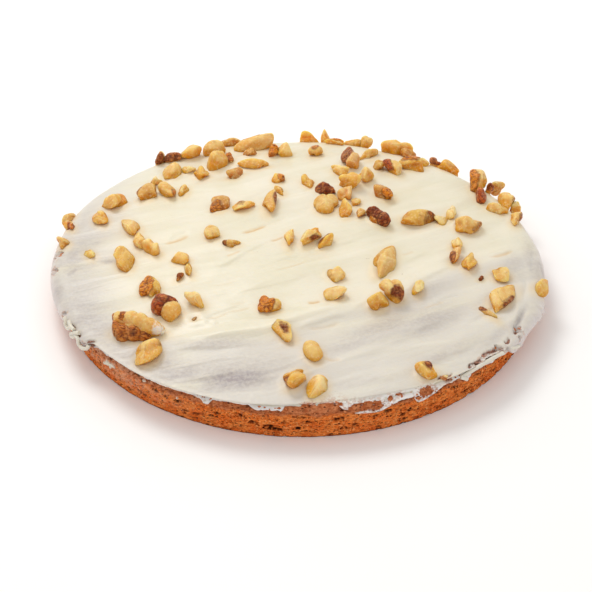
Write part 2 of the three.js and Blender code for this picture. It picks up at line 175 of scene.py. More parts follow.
# Lower edge of the frosting round the front, from left to right: degrees, height.
front_hem = [
    (-166.0, 15.2), (-163.0, 16.2), (-160.0, 16.6), (-158.4, 15.0), (-157.0, 16.2), (-155.0, 17.2),
    (-153.6, 17.4), (-151.6, 16.4), (-150.2, 17.6), (-148.6, 15.4), (-147.0, 14.8), (-145.6, 15.6),
    (-144.0, 16.9), (-142.4, 17.9), (-139.0, 17.6), (-136.0, 18.2), (-131.6, 17.8), (-128.0, 17.9),
    (-126.4, 18.4), (-124.8, 18.3), (-121.4, 18.6), (-119.8, 18.9), (-117.4, 18.5), (-116.4, 18.2),
    (-115.0, 18.6), (-113.4, 17.9), (-111.9, 17.5), (-111.0, 16.8), (-110.2, 15.9), (-109.6, 16.6),
    (-109.1, 18.3), (-107.7, 18.2), (-106.4, 19.0), (-105.0, 19.1), (-102.1, 18.4), (-100.9, 19.0),
    (-100.0, 17.6), (-99.0, 17.2), (-98.0, 17.3), (-96.7, 17.6), (-95.0, 17.3), (-94.2, 17.9),
    (-93.4, 17.2), (-92.7, 18.6), (-91.2, 19.0), (-89.6, 18.7), (-88.4, 19.1), (-86.4, 18.5), (-85.0, 18.8),
    (-83.4, 18.3), (-82.0, 18.5), (-80.4, 18.0), (-78.6, 16.6), (-77.0, 14.6), (-75.4, 14.4), (-73.4, 13.6),
    (-71.4, 13.9), (-70.2, 15.4), (-69.2, 16.5), (-67.6, 17.2), (-65.4, 17.3), (-63.9, 17.2), (-63.2, 14.6),
    (-62.4, 12.9), (-61.0, 13.4), (-59.4, 14.9), (-57.8, 16.7), (-55.9, 17.5), (-54.3, 17.3), (-52.0, 17.5),
    (-50.9, 17.0), (-49.6, 15.2), (-48.8, 15.6), (-48.2, 17.2), (-46.4, 17.5), (-43.5, 16.8), (-42.0, 16.4),
    (-41.2, 15.0), (-40.2, 16.8), (-38.6, 16.4), (-36.6, 16.9), (-35.2, 15.6), (-34.0, 12.6), (-32.4, 10.8),
    (-30.6, 11.6), (-29.2, 10.2), (-27.8, 12.4), (-26.0, 13.4), (-24.0, 12.8), (-21.0, 13.6),
]

# ---- Small helpers -----------------------------------------------------------------------------------


def smooth(x, low, high):
    t = np.clip((x - low) / (high - low), 0.0, 1.0)
    return t * t * (3.0 - 2.0 * t)


def mix(a, b, share):
    return a + (b - a) * share


def hump(x, width):
    return np.exp(-((x / width) ** 2))


def dice(seed):
    """Repeatable random numbers between 0 and 1."""
    state = seed * 7919 + 17

    def roll():
        nonlocal state
        state = (state * 48271) % 2147483647
        return state / 2147483647

    roll()
    roll()
    return roll


def wander(angle, waves):
    """Gentle wandering round the rim, between -1 and 1."""
    return sum(np.sin(count * angle + shift) for count, shift in waves) / len(waves)


def degrees_from(angle, middle):
    return np.abs((np.degrees(angle) - middle + 180.0) % 360.0 - 180.0)


def around(count):
    return np.arange(count) * (2.0 * math.pi / count)


def polar(radius, angle, z):
    x, y = radius * np.cos(angle), radius * np.sin(angle)
    return np.column_stack([x, y, np.broadcast_to(z, x.shape)])


# ---- The cake's outline and surfaces -----------------------------------------------------------------


def wrap(angle):
    """0 along the bare front, 1 where the frosting is over the edge."""
    return smooth(degrees_from(angle, rim.bare_middle), rim.bare_half - 2, rim.bare_half + 2)


def fold(angle):
    """0 where the fold starts, 1 where the frosting is folded fully down."""
    return smooth(degrees_from(angle, rim.bare_middle), rim.bare_half, rim.bare_half + rim.fold_over)


def cake_radius(angle):
    oval = 1.0 / np.hypot(np.cos(angle) / cake.half_width, np.sin(angle) / cake.half_depth)
    return (oval + cake.back_fuller * np.sin(angle) - cake.lopsided * np.sin(2 * angle)
            + cake.three_cornered * np.sin(3 * angle))


def scraped(angle):
    return rim.scrape_depth * hump(degrees_from(angle, rim.scrape_middle), rim.scrape_spread)


def frosted_radius(angle):
    uneven = cake.waver * wander(angle, [(5, 0.4), (9, 2.1), (14, 1.2)])
    return cake_radius(angle) + uneven - (1 - wrap(angle)) * (rim.bare_inset + scraped(angle))


def rounding(angle):
    return mix(rim.bare_round, rim.side_round, wrap(angle))


def lip_height(angle):
    return mix(rim.bare_lip, mix(rim.start_lip, rim.side_lip, fold(angle)), wrap(angle))


def strokes(x, y):
    """Distance along and across the knife's sweeps."""
    a = math.radians(knife.stroke)
    along = x * math.cos(a) + y * math.sin(a)
    return along, -x * math.sin(a) + y * math.cos(a) - knife.bend * along * along


# Folds and grooves that the knife left: rise, width, then the line's points from left to right. A fold falls
# off steeply to the front; a groove has a negative rise.
knife_lines = [
    (1.5, 9.0, [(-60, -69), (-42, -71), (-26, -69), (-13, -67), (1, -59), (13, -54), (25, -49), (36, -47)]),
    (1.1, 7.0, [(50, -38), (58, -30), (66, -22), (77, -12)]),
    (0.7, 4.0, [(-2, -66), (8, -62), (16, -58), (25, -56)]),
    (0.5, 5.0, [(-46, -15), (-36, -16), (-27, -8), (-17, 1), (-8, 9)]),
    (0.6, 5.0, [(-119, -35), (-110, -31), (-100, -29), (-90, -25), (-78, -21)]),
    (0.5, 4.0, [(-119, -24), (-108, -23), (-96, -21), (-77, -19)]),
    (0.6, 5.0, [(-118, 0), (-106, -2), (-98, -2), (-86, 0)]),
    (0.6, 6.0, [(-62, -88), (-50, -89), (-38, -86), (-24, -84), (-10, -82)]),
    (0.5, 4.0, [(-58, -79), (-46, -78), (-34, -78), (-17, -75)]),
    (0.8, 10.0, [(12, -90), (22, -86), (34, -80), (48, -71), (62, -61), (76, -51), (86, -43)]),
    (0.6, 6.0, [(56, -90), (66, -83), (76, -77), (90, -65)]),
    (0.5, 6.0, [(40, -26), (50, -16), (60, -6), (70, 2)]),
    (0.4, 7.0, [(-4, 34), (10, 40), (22, 50), (30, 60)]),
    (0.4, 8.0, [(60, 10), (72, 18), (86, 28), (98, 40)]),
    (0.4, 6.0, [(8, -8), (22, 2), (36, 12), (50, 18)]),
    (0.5, 9.0, [(-58, 26), (-40, 36), (-24, 50), (-10, 62)]),
    (0.4, 8.0, [(-96, 58), (-80, 62), (-60, 68), (-44, 76)]),
    (0.5, 9.0, [(-2, 76), (14, 82), (34, 90), (52, 96)]),
    (0.5, 7.0, [(-34, -40), (-20, -36), (-4, -30), (10, -22)]),
    (0.45, 6.0, [(92, -12), (100, -2), (108, 8), (114, 20)]),
    (1.3, 4.0, [(104, -63), (107, -58), (113.5, -43), (118, -30)]),
    (0.9, 3.0, [(97, -66), (101, -58), (105, -48), (108, -40)]),
    (0.5, 4.0, [(74, -62), (84, -54), (92, -45), (100, -34)]),
    (-1.5, 2.4, [(100, -62), (102, -59), (106.5, -48.7), (111, -39)]),
    (-0.8, 2.0, [(115, -14), (116.5, -8), (119, 4), (121, 16)]),
    (-0.5, 2.0, [(108, -36), (111, -28), (113, -20)]),
    (-0.35, 2.2, [(-65, 8), (-60, 12), (-54, 15)]),
    (-0.45, 2.0, [(-46, -61), (-40, -56), (-30, -51), (-19, -46)]),
    (-0.3, 2.0, [(-18, -18), (-10, -14), (-4, -11), (5, -8)]),
    (-0.3, 2.0, [(63, -47), (70, -41), (80, -34)]),
    (-0.35, 2.2, [(92, -3), (100, 3), (110, 9)]),
    (-0.55, 2.2, [(-31, 9), (-18, 18.5), (-2, 29.5)]),
]


def fading(x, start, end):
    """1 along the middle of a mark, falling to 0 at both of its ends."""
    taper = knife.fade * (end - start)
    return smooth(x, start, start + taper) * (1 - smooth(x, end - taper, end))


def bowed(points, x):
    """Height at x of a smooth line through some points from left to right, and its slope."""
    px, py = np.array(points, float).T
    slope = np.gradient(py, px)
    i = np.clip(np.searchsorted(px, x) - 1, 0, len(px) - 2)
    step = px[i + 1] - px[i]
    t = (x - px[i]) / step
    y = ((1 + 2 * t) * (1 - t) ** 2 * py[i] + t * (1 - t) ** 2 * step * slope[i]
         + t * t * (3 - 2 * t) * py[i + 1] + t * t * (t - 1) * step * slope[i + 1])
    return y, mix(slope[i], slope[i + 1], t)


# Low rings of frosting pushed up round a crumb: x, y, radius, width, rise.
raised_rings = [(-48, -58, 3.6, 2.4, 0.8), (-41, -61, 2.2, 1.4, 0.5)]


def line_marks(x, y):
    """Height of the folds and grooves."""
    height = np.zeros(np.shape(x))
    for rise, width, points in knife_lines:
        start, end = points[0][0], points[-1][0]
        near = (x > start) & (x < end) & (np.abs(y - points[len(points) // 2][1]) < 40)
        if not np.any(near):
            continue
        level, slope = bowed(points, x[near])
        beside = (y[near] - level) / np.hypot(1, slope)
        if rise > 0:
            profile = np.where(beside > 0, hump(beside, width), hump(beside, knife.steep_side * width))
        else:
            profile = hump(beside, 0.5 * width)
        height[near] += rise * profile * fading(x[near], start, end)
    for px, py, radius, width, rise in raised_rings:
        height += rise * hump(np.hypot(x - px, y - py) - radius, width)
    return height


def knife_marks(x, y):
    """Height of the long knife sweeps and of the bank along the front-right rim."""
    across = strokes(x, y)[1]
    angle = np.arctan2(y, x)
    inset = frosted_radius(angle) - np.hypot(x, y)
    sweeps = (knife.broad_rise * np.sin(2 * math.pi * across / knife.broad_pitch)
              + knife.narrow_rise * np.sin(2 * math.pi * across / knife.narrow_pitch + knife.narrow_shift))
    degrees = np.degrees(angle)
    reach = (smooth(degrees, knife.bank_from, knife.bank_from + knife.bank_taper)
             * (1 - smooth(degrees, knife.bank_to - knife.bank_taper, knife.bank_to)))
    bank = knife.bank_rise * hump(inset - knife.bank_inset, knife.bank_width) * reach
    return sweeps * smooth(inset, knife.sweeps_from, knife.sweeps_full) + bank


def frosting_top(x, y):
    """Top of the frosting at a place inside its outline."""
    angle = np.arctan2(y, x)
    flat = frosted_radius(angle) - rounding(angle)
    reach = np.hypot(x, y) / flat
    out = np.clip((reach - 1) * flat / rounding(angle), 0, 1)
    dome = cake.shoulder + cake.crown * (1 - reach * reach)
    edge = cake.shoulder - (cake.shoulder - lip_height(angle)) * (1 - np.sqrt(1 - out * out))
    return np.where(reach <= 1, dome, edge) + knife_marks(x, y)


def sponge_top(share):
    skin = mix(sponge.middle_skin, sponge.edge_skin, smooth(share, 0.7, 1.0))
    return cake.shoulder + cake.crown * (1 - share * share) - skin


CORNER_TOP = float(sponge_top(1.0))
WIDEST = CORNER_TOP - sponge.corner_drop


def sponge_radius(angle, z):
    """The sponge's side at a height: a leaning wall, then the baked corner."""
    edge = cake_radius(angle) - sponge.edge_inset
    wall = mix(cake_radius(angle) - sponge.base_inset, edge, np.clip(z / WIDEST, 0, 1))
    return wall - sponge.corner_in * np.clip((z - WIDEST) / sponge.corner_drop, 0, 1)


def drawn_front(angle):
    """1 along the front, where the lower edge is drawn point by point."""
    return 1 - smooth(degrees_from(angle, rim.drawn_middle), rim.drawn_half - 3, rim.drawn_half)


def hem_height(angle):
    """Lower edge of the frosting: drawn along the front, ragged round the rest."""
    degrees, heights = np.array(front_hem).T
    turned = np.where(np.degrees(angle) > 90, np.degrees(angle) - 360, np.degrees(angle))
    drawn = np.interp(turned, degrees, heights)
    fine = rim.fine_ragged * wander(angle, [(97, 0.3), (151, 1.7), (233, 4.0), (379, 2.2)])
    uneven = rim.ragged * wander(angle, [(23, 0.3), (37, 1.9), (51, 4.1)])
    side = lip_height(angle) - rim.lip_drop + uneven
    return mix(side, drawn, drawn_front(angle)) + fine


# ---- Building skins of rings -------------------------------------------------------------------------


class Skin:
    """Rings of points joined into a surface, in millimetres."""

    def __init__(self):
        self.points, self.faces, self.count = [], [], 0

    def ring(self, points):
        points = np.atleast_2d(points)
        self.points.append(points)
        self.count += len(points)
        return np.arange(self.count - len(points), self.count)

    def add(self, a, b, c):
        self.faces.append(np.column_stack([a, b, c]))

    def band(self, lower, upper):
        """Two rings with the same number of points."""
        self.add(lower, np.roll(lower, -1), np.roll(upper, -1))
        self.add(lower, np.roll(upper, -1), upper)

    def halve(self, outer, inner):
        """A ring joined to one with half its points."""
        even, odd, following = outer[0::2], outer[1::2], np.roll(outer, -2)[0::2]
        self.add(even, odd, inner)
        self.add(odd, following, np.roll(inner, -1))
        self.add(odd, np.roll(inner, -1), inner)

    def fan(self, ring, centre):
        middle = self.ring(centre)[0]
        self.add(ring, np.roll(ring, -1), np.full(len(ring), middle))

    def disc(self, rings, place):
        """Rings of 6, 12, 18 ... points, so that the triangles stay even. Returns the outermost."""
        inner = self.ring(place(0.0, np.zeros(1)))
        for k in range(1, rings + 1):
            outer = self.ring(place(k / rings, around(6 * k)))
            step = np.arange(6 * k)
            here = (step // k) * (k - 1) + step % k
            self.add(outer, np.roll(outer, -1), inner[here % len(inner)])
            more = step[step % k < k - 1]
            self.add(np.roll(outer, -1)[more], inner[(here[more] + 1) % len(inner)],
                     inner[here[more] % len(inner)])
            inner = outer
        return inner

    def mesh(self, name):
        return mesh_from(name, np.concatenate(self.points), np.concatenate(self.faces))


def mesh_from(name, points, faces):
    """A smooth-shaded mesh of triangles, made from millimetres."""
    mesh = bpy.data.meshes.new(name)
    mesh.vertices.add(len(points))
    mesh.vertices.foreach_set("co", (points * MM).astype(np.float32).ravel())
    mesh.loops.add(3 * len(faces))
    mesh.loops.foreach_set("vertex_index", faces.astype(np.int32).ravel())
    mesh.polygons.add(len(faces))
    mesh.polygons.foreach_set("loop_start", np.arange(0, 3 * len(faces), 3, dtype=np.int32))
    mesh.update(calc_edges=True)
    mesh.validate()
    mesh.shade_smooth()
    return mesh


def places_of(mesh):
    points = np.empty(3 * len(mesh.vertices), np.float32)
    mesh.vertices.foreach_get("co", points)
    return points.reshape(-1, 3).astype(float) / MM


def mark(mesh, name, values, kind="FLOAT"):
    """Keeps a value, a vector or a colour at each point of a mesh."""
    field = {"FLOAT": "value", "FLOAT_VECTOR": "vector", "FLOAT_COLOR": "color"}[kind]
    data = mesh.attributes.new(name, kind, "POINT").data
    data.foreach_set(field, np.asarray(values, np.float32).ravel())


def place_piece(name, mesh, material):
    piece = bpy.data.objects.new(name, mesh)
    bpy.context.scene.collection.objects.link(piece)
    mesh.materials.clear()
    mesh.materials.append(material)
    return piece


# ---- Node trees --------------------------------------------------------------------------------------


class Graph:
    """Adds nodes to a tree. An input takes a plain value or another node's output."""

    def __init__(self, tree):
        self.tree = tree

    def node(self, kind, inputs=(), **settings):
        """A new node with its inputs by name or number, and its own settings."""
        node = self.tree.nodes.new(kind)
        for name, value in settings.items():
            setattr(node, name, value)
        for key, value in dict(inputs).items():
            self.feed(node.inputs[key], value)
        return node

    def feed(self, socket, value):
        if isinstance(value, bpy.types.NodeSocket):
            self.tree.links.new(value, socket)
        else:
            socket.default_value = value

    def maths(self, operation, a, b=0.0):
        return self.node("ShaderNodeMath", {0: a, 1: b}, operation=operation).outputs[0]

    def times(self, *values):
        product = values[0]
        for value in values[1:]:
            product = self.maths("MULTIPLY", product, value)
        return product

    def plus(self, *values):
        total = values[0]
        for value in values[1:]:
            total = self.maths("ADD", total, value)
        return total

    def less(self, a, b):
        return self.maths("SUBTRACT", a, b)

    def between(self, value, low, high, start=0.0, end=1.0):
        """start where value is low, end where it is high, with a soft change between."""
        inputs = {"Value": value, "From Min": low, "From Max": high, "To Min": start, "To Max": end}
        return self.node("ShaderNodeMapRange", inputs, interpolation_type="SMOOTHSTEP").outputs[0]

    def blend(self, share, first, second):
        """The first colour, and by the share the second."""
        inputs = {0: share, 6: first, 7: second}
        return self.node("ShaderNodeMix", inputs, data_type="RGBA").outputs[2]

    def vector(self, operation, a, b):
        key = "Scale" if operation == "SCALE" else 1
        return self.node("ShaderNodeVectorMath", {0: a, key: b}, operation=operation).outputs[0]

    def join(self, x, y, z):
        return self.node("ShaderNodeCombineXYZ", {0: x, 1: y, 2: z}).outputs[0]

    def per(self, size):
        return self.maths("DIVIDE", 1.0, size)

    def noise(self, place, scale=1.0, detail=2.0, roughness=0.5, distortion=0.0):
        inputs = {"Vector": place, "Scale": scale, "Detail": detail, "Roughness": roughness,
                  "Distortion": distortion}
        return self.node("ShaderNodeTexNoise", inputs).outputs[0]

    def ripple(self, place, scale, detail=2.0, roughness=0.5):
        """A noise between -0.5 and 0.5, with so many features to a millimetre."""
        return self.less(self.noise(self.vector("SCALE", place, scale), 1.0, detail, roughness), 0.5)

    def cells(self, place, scale=1.0):
        """Distance to the nearest of many scattered points, and a random colour for each."""
        inputs = {"Vector": place, "Scale": scale, "Randomness": 1.0}
        node = self.node("ShaderNodeTexVoronoi", inputs, feature="F1")
        return node.outputs["Distance"], node.outputs["Color"]


def new_tree(kind, name, inputs, outputs):
    """A node group with named inputs and outputs: (graph, input sockets, output node)."""
    tree = bpy.data.node_groups.new(name, kind)
    for label, socket, default in inputs:
        item = tree.interface.new_socket(name=label, in_out="INPUT", socket_type=socket)
        if default is not None:
            item.default_value = default
    for label, socket in outputs:
        tree.interface.new_socket(name=label, in_out="OUTPUT", socket_type=socket)
    sockets = tree.nodes.new("NodeGroupInput").outputs
    return Graph(tree), sockets, tree.nodes.new("NodeGroupOutput")


FLOAT, GEOMETRY, MATERIAL = "NodeSocketFloat", "NodeSocketGeometry", "NodeSocketMaterial"


def new_relief(name, sizes):
    """A geometry tree that raises a surface along its normals, with its sizes as named inputs."""
    inputs = [("Surface", GEOMETRY, None), *[(label, FLOAT, value) for label, value in sizes],
              ("Material", MATERIAL, None)]
    return new_tree("GeometryNodeTree", name, inputs, [("Surface", GEOMETRY)])


def read(graph, name, kind="FLOAT"):
    return graph.node("GeometryNodeInputNamedAttribute", {"Name": name}, data_type=kind).outputs["Attribute"]


def keep(graph, surface, name, value):
    inputs = {"Geometry": surface, "Name": name, "Value": value}
    return graph.node("GeometryNodeStoreNamedAttribute", inputs, data_type="FLOAT",
                      domain="POINT").outputs[0]


def raise_surface(graph, surface, height):
    """Moves each point along its normal by a height in millimetres."""
    normal = graph.node("GeometryNodeInputNormal").outputs["Normal"]
    offset = graph.vector("SCALE", normal, graph.times(height, MM))
    return graph.node("GeometryNodeSetPosition", {"Geometry": surface, "Offset": offset}).outputs[0]


def close_relief(graph, surface, sockets, output):
    whole = graph.node("GeometryNodeRealizeInstances", {"Geometry": surface}).outputs[0]
    dressed = graph.node("GeometryNodeSetMaterial", {"Geometry": whole, "Material": sockets["Material"]})
    graph.feed(output.inputs[0], dressed.outputs[0])


def millimetres(graph):
    place = graph.node("GeometryNodeInputPosition").outputs[0]
    return graph.vector("SCALE", place, 1 / MM)


def grow(piece, tree, material, **sizes):
    """Runs a geometry tree on a piece and keeps the result as its plain mesh."""
    values = {label.replace("_", " ").title(): value for label, value in sizes.items()}
    modifier = piece.modifiers.new(tree.name, "NODES")
    modifier.node_group = tree
    for item in tree.interface.items_tree:
        if item.in_out == "INPUT" and item.name in values:
            modifier[item.identifier] = values[item.name]
        elif item.in_out == "INPUT" and item.name == "Material":
            modifier[item.identifier] = material
    graph = bpy.context.evaluated_depsgraph_get()
    grown = bpy.data.meshes.new_from_object(
        piece.evaluated_get(graph), preserve_all_data_layers=True, depsgraph=graph)
    if piece.type != "MESH":
        bpy.data.objects.remove(piece)
        return grown
    piece.modifiers.remove(modifier)
    piece.data = grown
    grown.shade_smooth()
    return piece


# ---- Shared effects ----------------------------------------------------------------------------------


def scaled_place(graph, size, flatness):
    """Object coordinates measured in features of a size in millimetres, so many times wider than tall."""
    place = graph.node("ShaderNodeTexCoord").outputs["Object"]
    place = graph.vector("MULTIPLY", place, graph.join(1.0, 1.0, flatness))
    return graph.vector("SCALE", place, graph.maths("DIVIDE", 1 / MM, size))


def make_mottle():
    """Cloudy patches: a mask between two thresholds of a noise."""
    graph, sizes, output = new_tree(
        "ShaderNodeTree", "Mottle",
        [("Patch Size", FLOAT, 5.0), ("Flatness", FLOAT, 1.0), ("Detail", FLOAT, 3.0), ("From", FLOAT, 0.4),
         ("To", FLOAT, 0.6)],
        [("Mask", FLOAT)])
    place = scaled_place(graph, sizes["Patch Size"], sizes["Flatness"])
    cloud = graph.noise(place, 1.0, sizes["Detail"], 0.55)
    graph.feed(output.inputs["Mask"], graph.between(cloud, sizes["From"], sizes["To"]))
    return graph.tree


def make_speckle():
    """Scattered specks of uneven size: a mask of the specks."""
    graph, sizes, output = new_tree(
        "ShaderNodeTree", "Speckle",
        [("Spacing", FLOAT, 3.0), ("Flatness", FLOAT, 1.0), ("Reach", FLOAT, 0.3), ("Share", FLOAT, 0.3)],
        [("Mask", FLOAT)])
    place = scaled_place(graph, sizes["Spacing"], sizes["Flatness"])
    cloud = graph.node("ShaderNodeTexNoise", {"Vector": place, "Scale": 2.5}).outputs["Color"]
    bent = graph.vector("ADD", place, graph.vector("SCALE", cloud, 0.5))
    distance, colour = graph.cells(bent)
    chance = graph.node("ShaderNodeSeparateColor", {0: colour})
    chosen = graph.maths("LESS_THAN", chance.outputs[0], sizes["Share"])
    edge = graph.times(sizes["Reach"], graph.between(chance.outputs[1], 0, 1, 0.5, 1.0))
    inside = graph.between(distance, edge, graph.times(edge, 0.55))
    graph.feed(output.inputs["Mask"], graph.times(inside, chosen))
    return graph.tree


mottle = make_mottle()
speckle = make_speckle()


def paint(red, green, blue):
    """A colour from everyday 0 to 255 values."""
    def linear(value):
        share = value / 255
        return share / 12.92 if share <= 0.04045 else ((share + 0.055) / 1.055) ** 2.4

    return (linear(red), linear(green), linear(blue), 1.0)


def new_finish(name, **constants):
    """A material and its shader; plain values go straight onto the shader's sockets."""
    material = bpy.data.materials.new(name)
    material.use_nodes = True
    shader = material.node_tree.nodes["Principled BSDF"]
    for socket, value in constants.items():
        shader.inputs[socket.replace("_", " ").title().replace("Ior", "IOR")].default_value = value
    return material, Graph(material.node_tree), shader


def patches(graph, size, low, high, flat=1.0):
    """Cloudy patches of a size, so many times wider than tall."""
    node = graph.node("ShaderNodeGroup", node_tree=mottle)
    for label, value in (("Patch Size", size), ("Flatness", flat), ("From", low), ("To", high)):
        graph.feed(node.inputs[label], value)
    return node.outputs["Mask"]


def specks(graph, spacing, reach, share, flat=1.0):
    """Scattered specks: their spacing, their reach as a share of it, and how many of the places have one."""
    node = graph.node("ShaderNodeGroup", node_tree=speckle)
    for label, value in (("Spacing", spacing), ("Flatness", flat), ("Reach", reach), ("Share", share)):
        graph.feed(node.inputs[label], value)
    return node.outputs["Mask"]


def own(graph, name, output="Fac"):
    """A value or colour kept at the piece's own points."""
    return graph.node("ShaderNodeAttribute", attribute_name=name).outputs[output]


def layered(graph, colour, *layers):
    """Paints layers over a colour, one after another: the mask, its strength and the layer's colour."""
    for mask, strength, shade in layers:
        colour = graph.blend(graph.times(mask, strength), colour, shade)
    return colour


def bump(graph, shader, height, depth, strength=1.0):
    """Fine relief, in millimetres."""
    inputs = {"Height": height, "Distance": depth * MM, "Strength": strength}
    graph.feed(shader.inputs["Normal"], graph.node("ShaderNodeBump", inputs).outputs[0])


# ---- Sponge ------------------------------------------------------------------------------------------


def sponge_finish():
    """Torn crumb with pores, dark and pale specks, and a baked crust at its upper corner; painted shade deep
    in the pores and a painted contact shadow along its base.
    """
    material, graph, shader = new_finish("baked carrot sponge", roughness=0.9)
    shader.inputs["Specular IOR Level"].default_value = 0.08
    crumb = graph.blend(patches(graph, 7.0, 0.35, 0.65), paint(240, 116, 42), paint(252, 144, 66))
    crumb = layered(
        graph, crumb,
        (patches(graph, 1.9, 0.44, 0.62, flat=2.4), 0.6, paint(176, 72, 24)),
        (patches(graph, 1.0, 0.54, 0.66, flat=1.6), 0.75, paint(244, 168, 102)),
        (specks(graph, 2.1, 0.44, 0.5, flat=2.4), 0.95, paint(76, 22, 6)),
        (specks(graph, 1.3, 0.42, 0.3, flat=2.0), 0.85, paint(62, 18, 4)),
        (specks(graph, 4.5, 0.2, 0.25), 0.7, paint(244, 156, 92)),
        (specks(graph, 1.5, 0.44, 0.45), 0.85, paint(255, 172, 104)),
        # Painted shade deep in the pores and open holes.
        (own(graph, "pore"), 1.0, paint(48, 13, 4)))
    crust = graph.blend(patches(graph, 2.2, 0.36, 0.66, flat=2.0), paint(178, 94, 52), paint(214, 134, 88))
    crust = layered(
        graph, crust,
        (specks(graph, 2.0, 0.42, 0.45, flat=2.0), 0.85, paint(78, 32, 16)),
        (specks(graph, 2.6, 0.3, 0.35), 0.6, paint(216, 122, 66)))
    whole = layered(
        graph, crumb,
        (own(graph, "crust"), 1.0, crust),
        (own(graph, "powdery"), patches(graph, 2.6, 0.3, 0.7), paint(238, 180, 146)),
        # Painted contact shadow along the base.
        (own(graph, "foot"), 0.8, paint(84, 30, 10)),
        (own(graph, "dab"), 1.0, paint(240, 232, 214)))
    graph.feed(shader.inputs["Base Color"], whole)
    pits = graph.times(specks(graph, 1.9, 0.42, 0.35, flat=2.2), -1.3)
    grain = graph.plus(patches(graph, 0.8, 0.2, 0.8, flat=1.5), pits)
    bump(graph, shader, grain, 0.55)
    return material


# Open holes in the crumb of the front: degrees, height, half width, half height, depth.
sponge_holes = [
    (-94.3, 4.5, 2.6, 1.9, 3.0), (-81.4, 11.3, 2.2, 1.1, 2.2), (-82.5, 1.2, 1.6, 1.0, 2.0),
    (-69.7, 11.9, 2.6, 1.2, 2.6), (-65.6, 6.7, 2.0, 1.0, 2.4), (-71.3, 1.8, 1.6, 0.9, 2.0),
    (-64.3, 8.6, 1.8, 0.9, 2.2), (-123.4, 12.6, 1.5, 0.9, 1.8), (-121.3, 11.2, 1.3, 0.9, 1.8),
    (-118.3, 10.5, 2.0, 0.8, 2.0), (-108.3, 10.2, 2.2, 1.0, 2.2), (-87.6, 10.5, 1.4, 1.0, 1.8),
    (-58.6, 7.4, 2.4, 0.9, 2.4), (-56.3, 3.7, 1.4, 0.8, 2.0), (-44.1, 7.8, 2.2, 0.8, 2.0),
    (-49.1, 10.2, 1.6, 0.8, 2.0), (-72.4, 10.4, 1.8, 1.0, 2.2), (-100.5, 7.6, 1.6, 0.8, 2.0),
    (-113.5, 6.0, 1.4, 0.9, 1.8), (-76.8, 5.2, 1.7, 0.8, 2.0), (-90.6, 14.2, 1.5, 0.8, 1.6),
    (-57.5, 15.0, 3.6, 1.4, 2.6), (-52.5, 12.4, 3.0, 1.0, 2.4), (-51.0, 5.7, 2.4, 1.0, 2.2),
    (-54.5, 5.9, 2.2, 0.9, 2.2), (-48.0, 4.9, 2.4, 0.9, 2.2), (-46.0, 12.9, 3.6, 0.9, 2.4),
    (-41.0, 9.8, 3.4, 0.9, 2.4), (-38.4, 6.6, 2.6, 0.8, 2.0), (-40.0, 13.4, 2.6, 0.8, 2.0),
    (-35.6, 9.0, 2.4, 0.8, 2.0),
]

# Dabs of frosting on the side: degrees, height, half width, half height.
sponge_dabs = [
    (-138.6, 13.2, 2.2, 3.0), (-137.8, 13.8, 4.2, 1.5), (-139.2, 12.2, 3.4, 1.3), (-110.7, 16.4, 1.2, 0.9),
    (-126.4, 16.6, 1.8, 0.5), (-117.6, 14.2, 0.8, 0.6),
]


def spots(angle, z, places, radius):
    """How deep each point lies inside the nearest of some ovals on the side, 0 outside."""
    inside = np.zeros(len(angle))
    for degrees, height, half_width, half_height in places:
        sideways = np.radians((np.degrees(angle) - degrees + 180) % 360 - 180) * radius / half_width
        inside = np.maximum(inside, 1 - np.hypot(sideways, (z - height) / half_height))
    return np.clip(inside, 0, 1)


def sponge_mesh():
    """The sponge's plain form, with what its relief and its finish need kept at each point."""
    skin = Skin()
    angle = around(sponge.columns)
    rows = np.append(np.arange(0, WIDEST, sponge.row_height), WIDEST)
    rows = np.concatenate([rows, np.linspace(WIDEST, CORNER_TOP, sponge.corner_rows + 1)[1:]])
    rings = [skin.ring(polar(sponge_radius(angle, z), angle, z)) for z in rows]
    for lower, upper in zip(rings, rings[1:]):
        skin.band(lower, upper)
    side = skin.count
    close_disc(skin, rings[-1], sponge_radius(angle, CORNER_TOP), sponge_top)
    close_disc(skin, rings[0][::-1], sponge_radius(angle, 0)[::-1], lambda share: 0.0, turned=True)
    mesh = skin.mesh("sponge_crumb")
    mark_sponge(mesh, side)
    return mesh


def mark_sponge(mesh, side):
    """Keeps where the side is torn, crusty, powdery or hollow; its points come first in the mesh."""
    x, y, z = places_of(mesh).T
    angle, radius = np.arctan2(y, x), np.hypot(x, y)
    on_side = (np.arange(len(x)) < side).astype(float)
    wavy = sponge.crust_waver * wander(angle, [(31, 0.5), (53, 2.0), (88, 4.4)])
    left_end = 1 - smooth(degrees_from(angle, sponge.powdery_middle), 20, 52)
    holes = np.zeros(len(x))
    for *oval, depth in sponge_holes:
        holes = np.maximum(holes, depth * smooth(spots(angle, z, [oval], radius), 0.0, 0.7))
    marks = {
        "open": mix(0.3, 1.0, smooth(z, 0.0, sponge.calm_foot)),
        "powdery": 0.8 * left_end * smooth(z, 2.0, 9.0),
        "crust": smooth(z, WIDEST - sponge.crust_start + wavy, WIDEST - sponge.crust_full + wavy),
        # Painted contact shadow along the base.
        "foot": 1 - smooth(z, 0.1, sponge.browned_foot),
        "hollow": holes,
        "dab": smooth(spots(angle, z, sponge_dabs, radius), 0.05, 0.25),
    }
    for name, values in marks.items():
        mark(mesh, name, values * on_side)


def close_disc(skin, ring, radius, height, turned=False):
    """Closes a ring inward with rings of half as many points each."""
    angle = around(len(ring))
    if turned:
        angle = angle[::-1]
    for share in (0.93, 0.8, 0.62, 0.4):
        angle, radius = angle[0::2], radius[0::2]
        inner = skin.ring(polar(radius * share, angle, height(share)))
        skin.halve(ring, inner)
        ring = inner
    skin.fan(ring, [0.0, 0.0, float(height(0.0))])


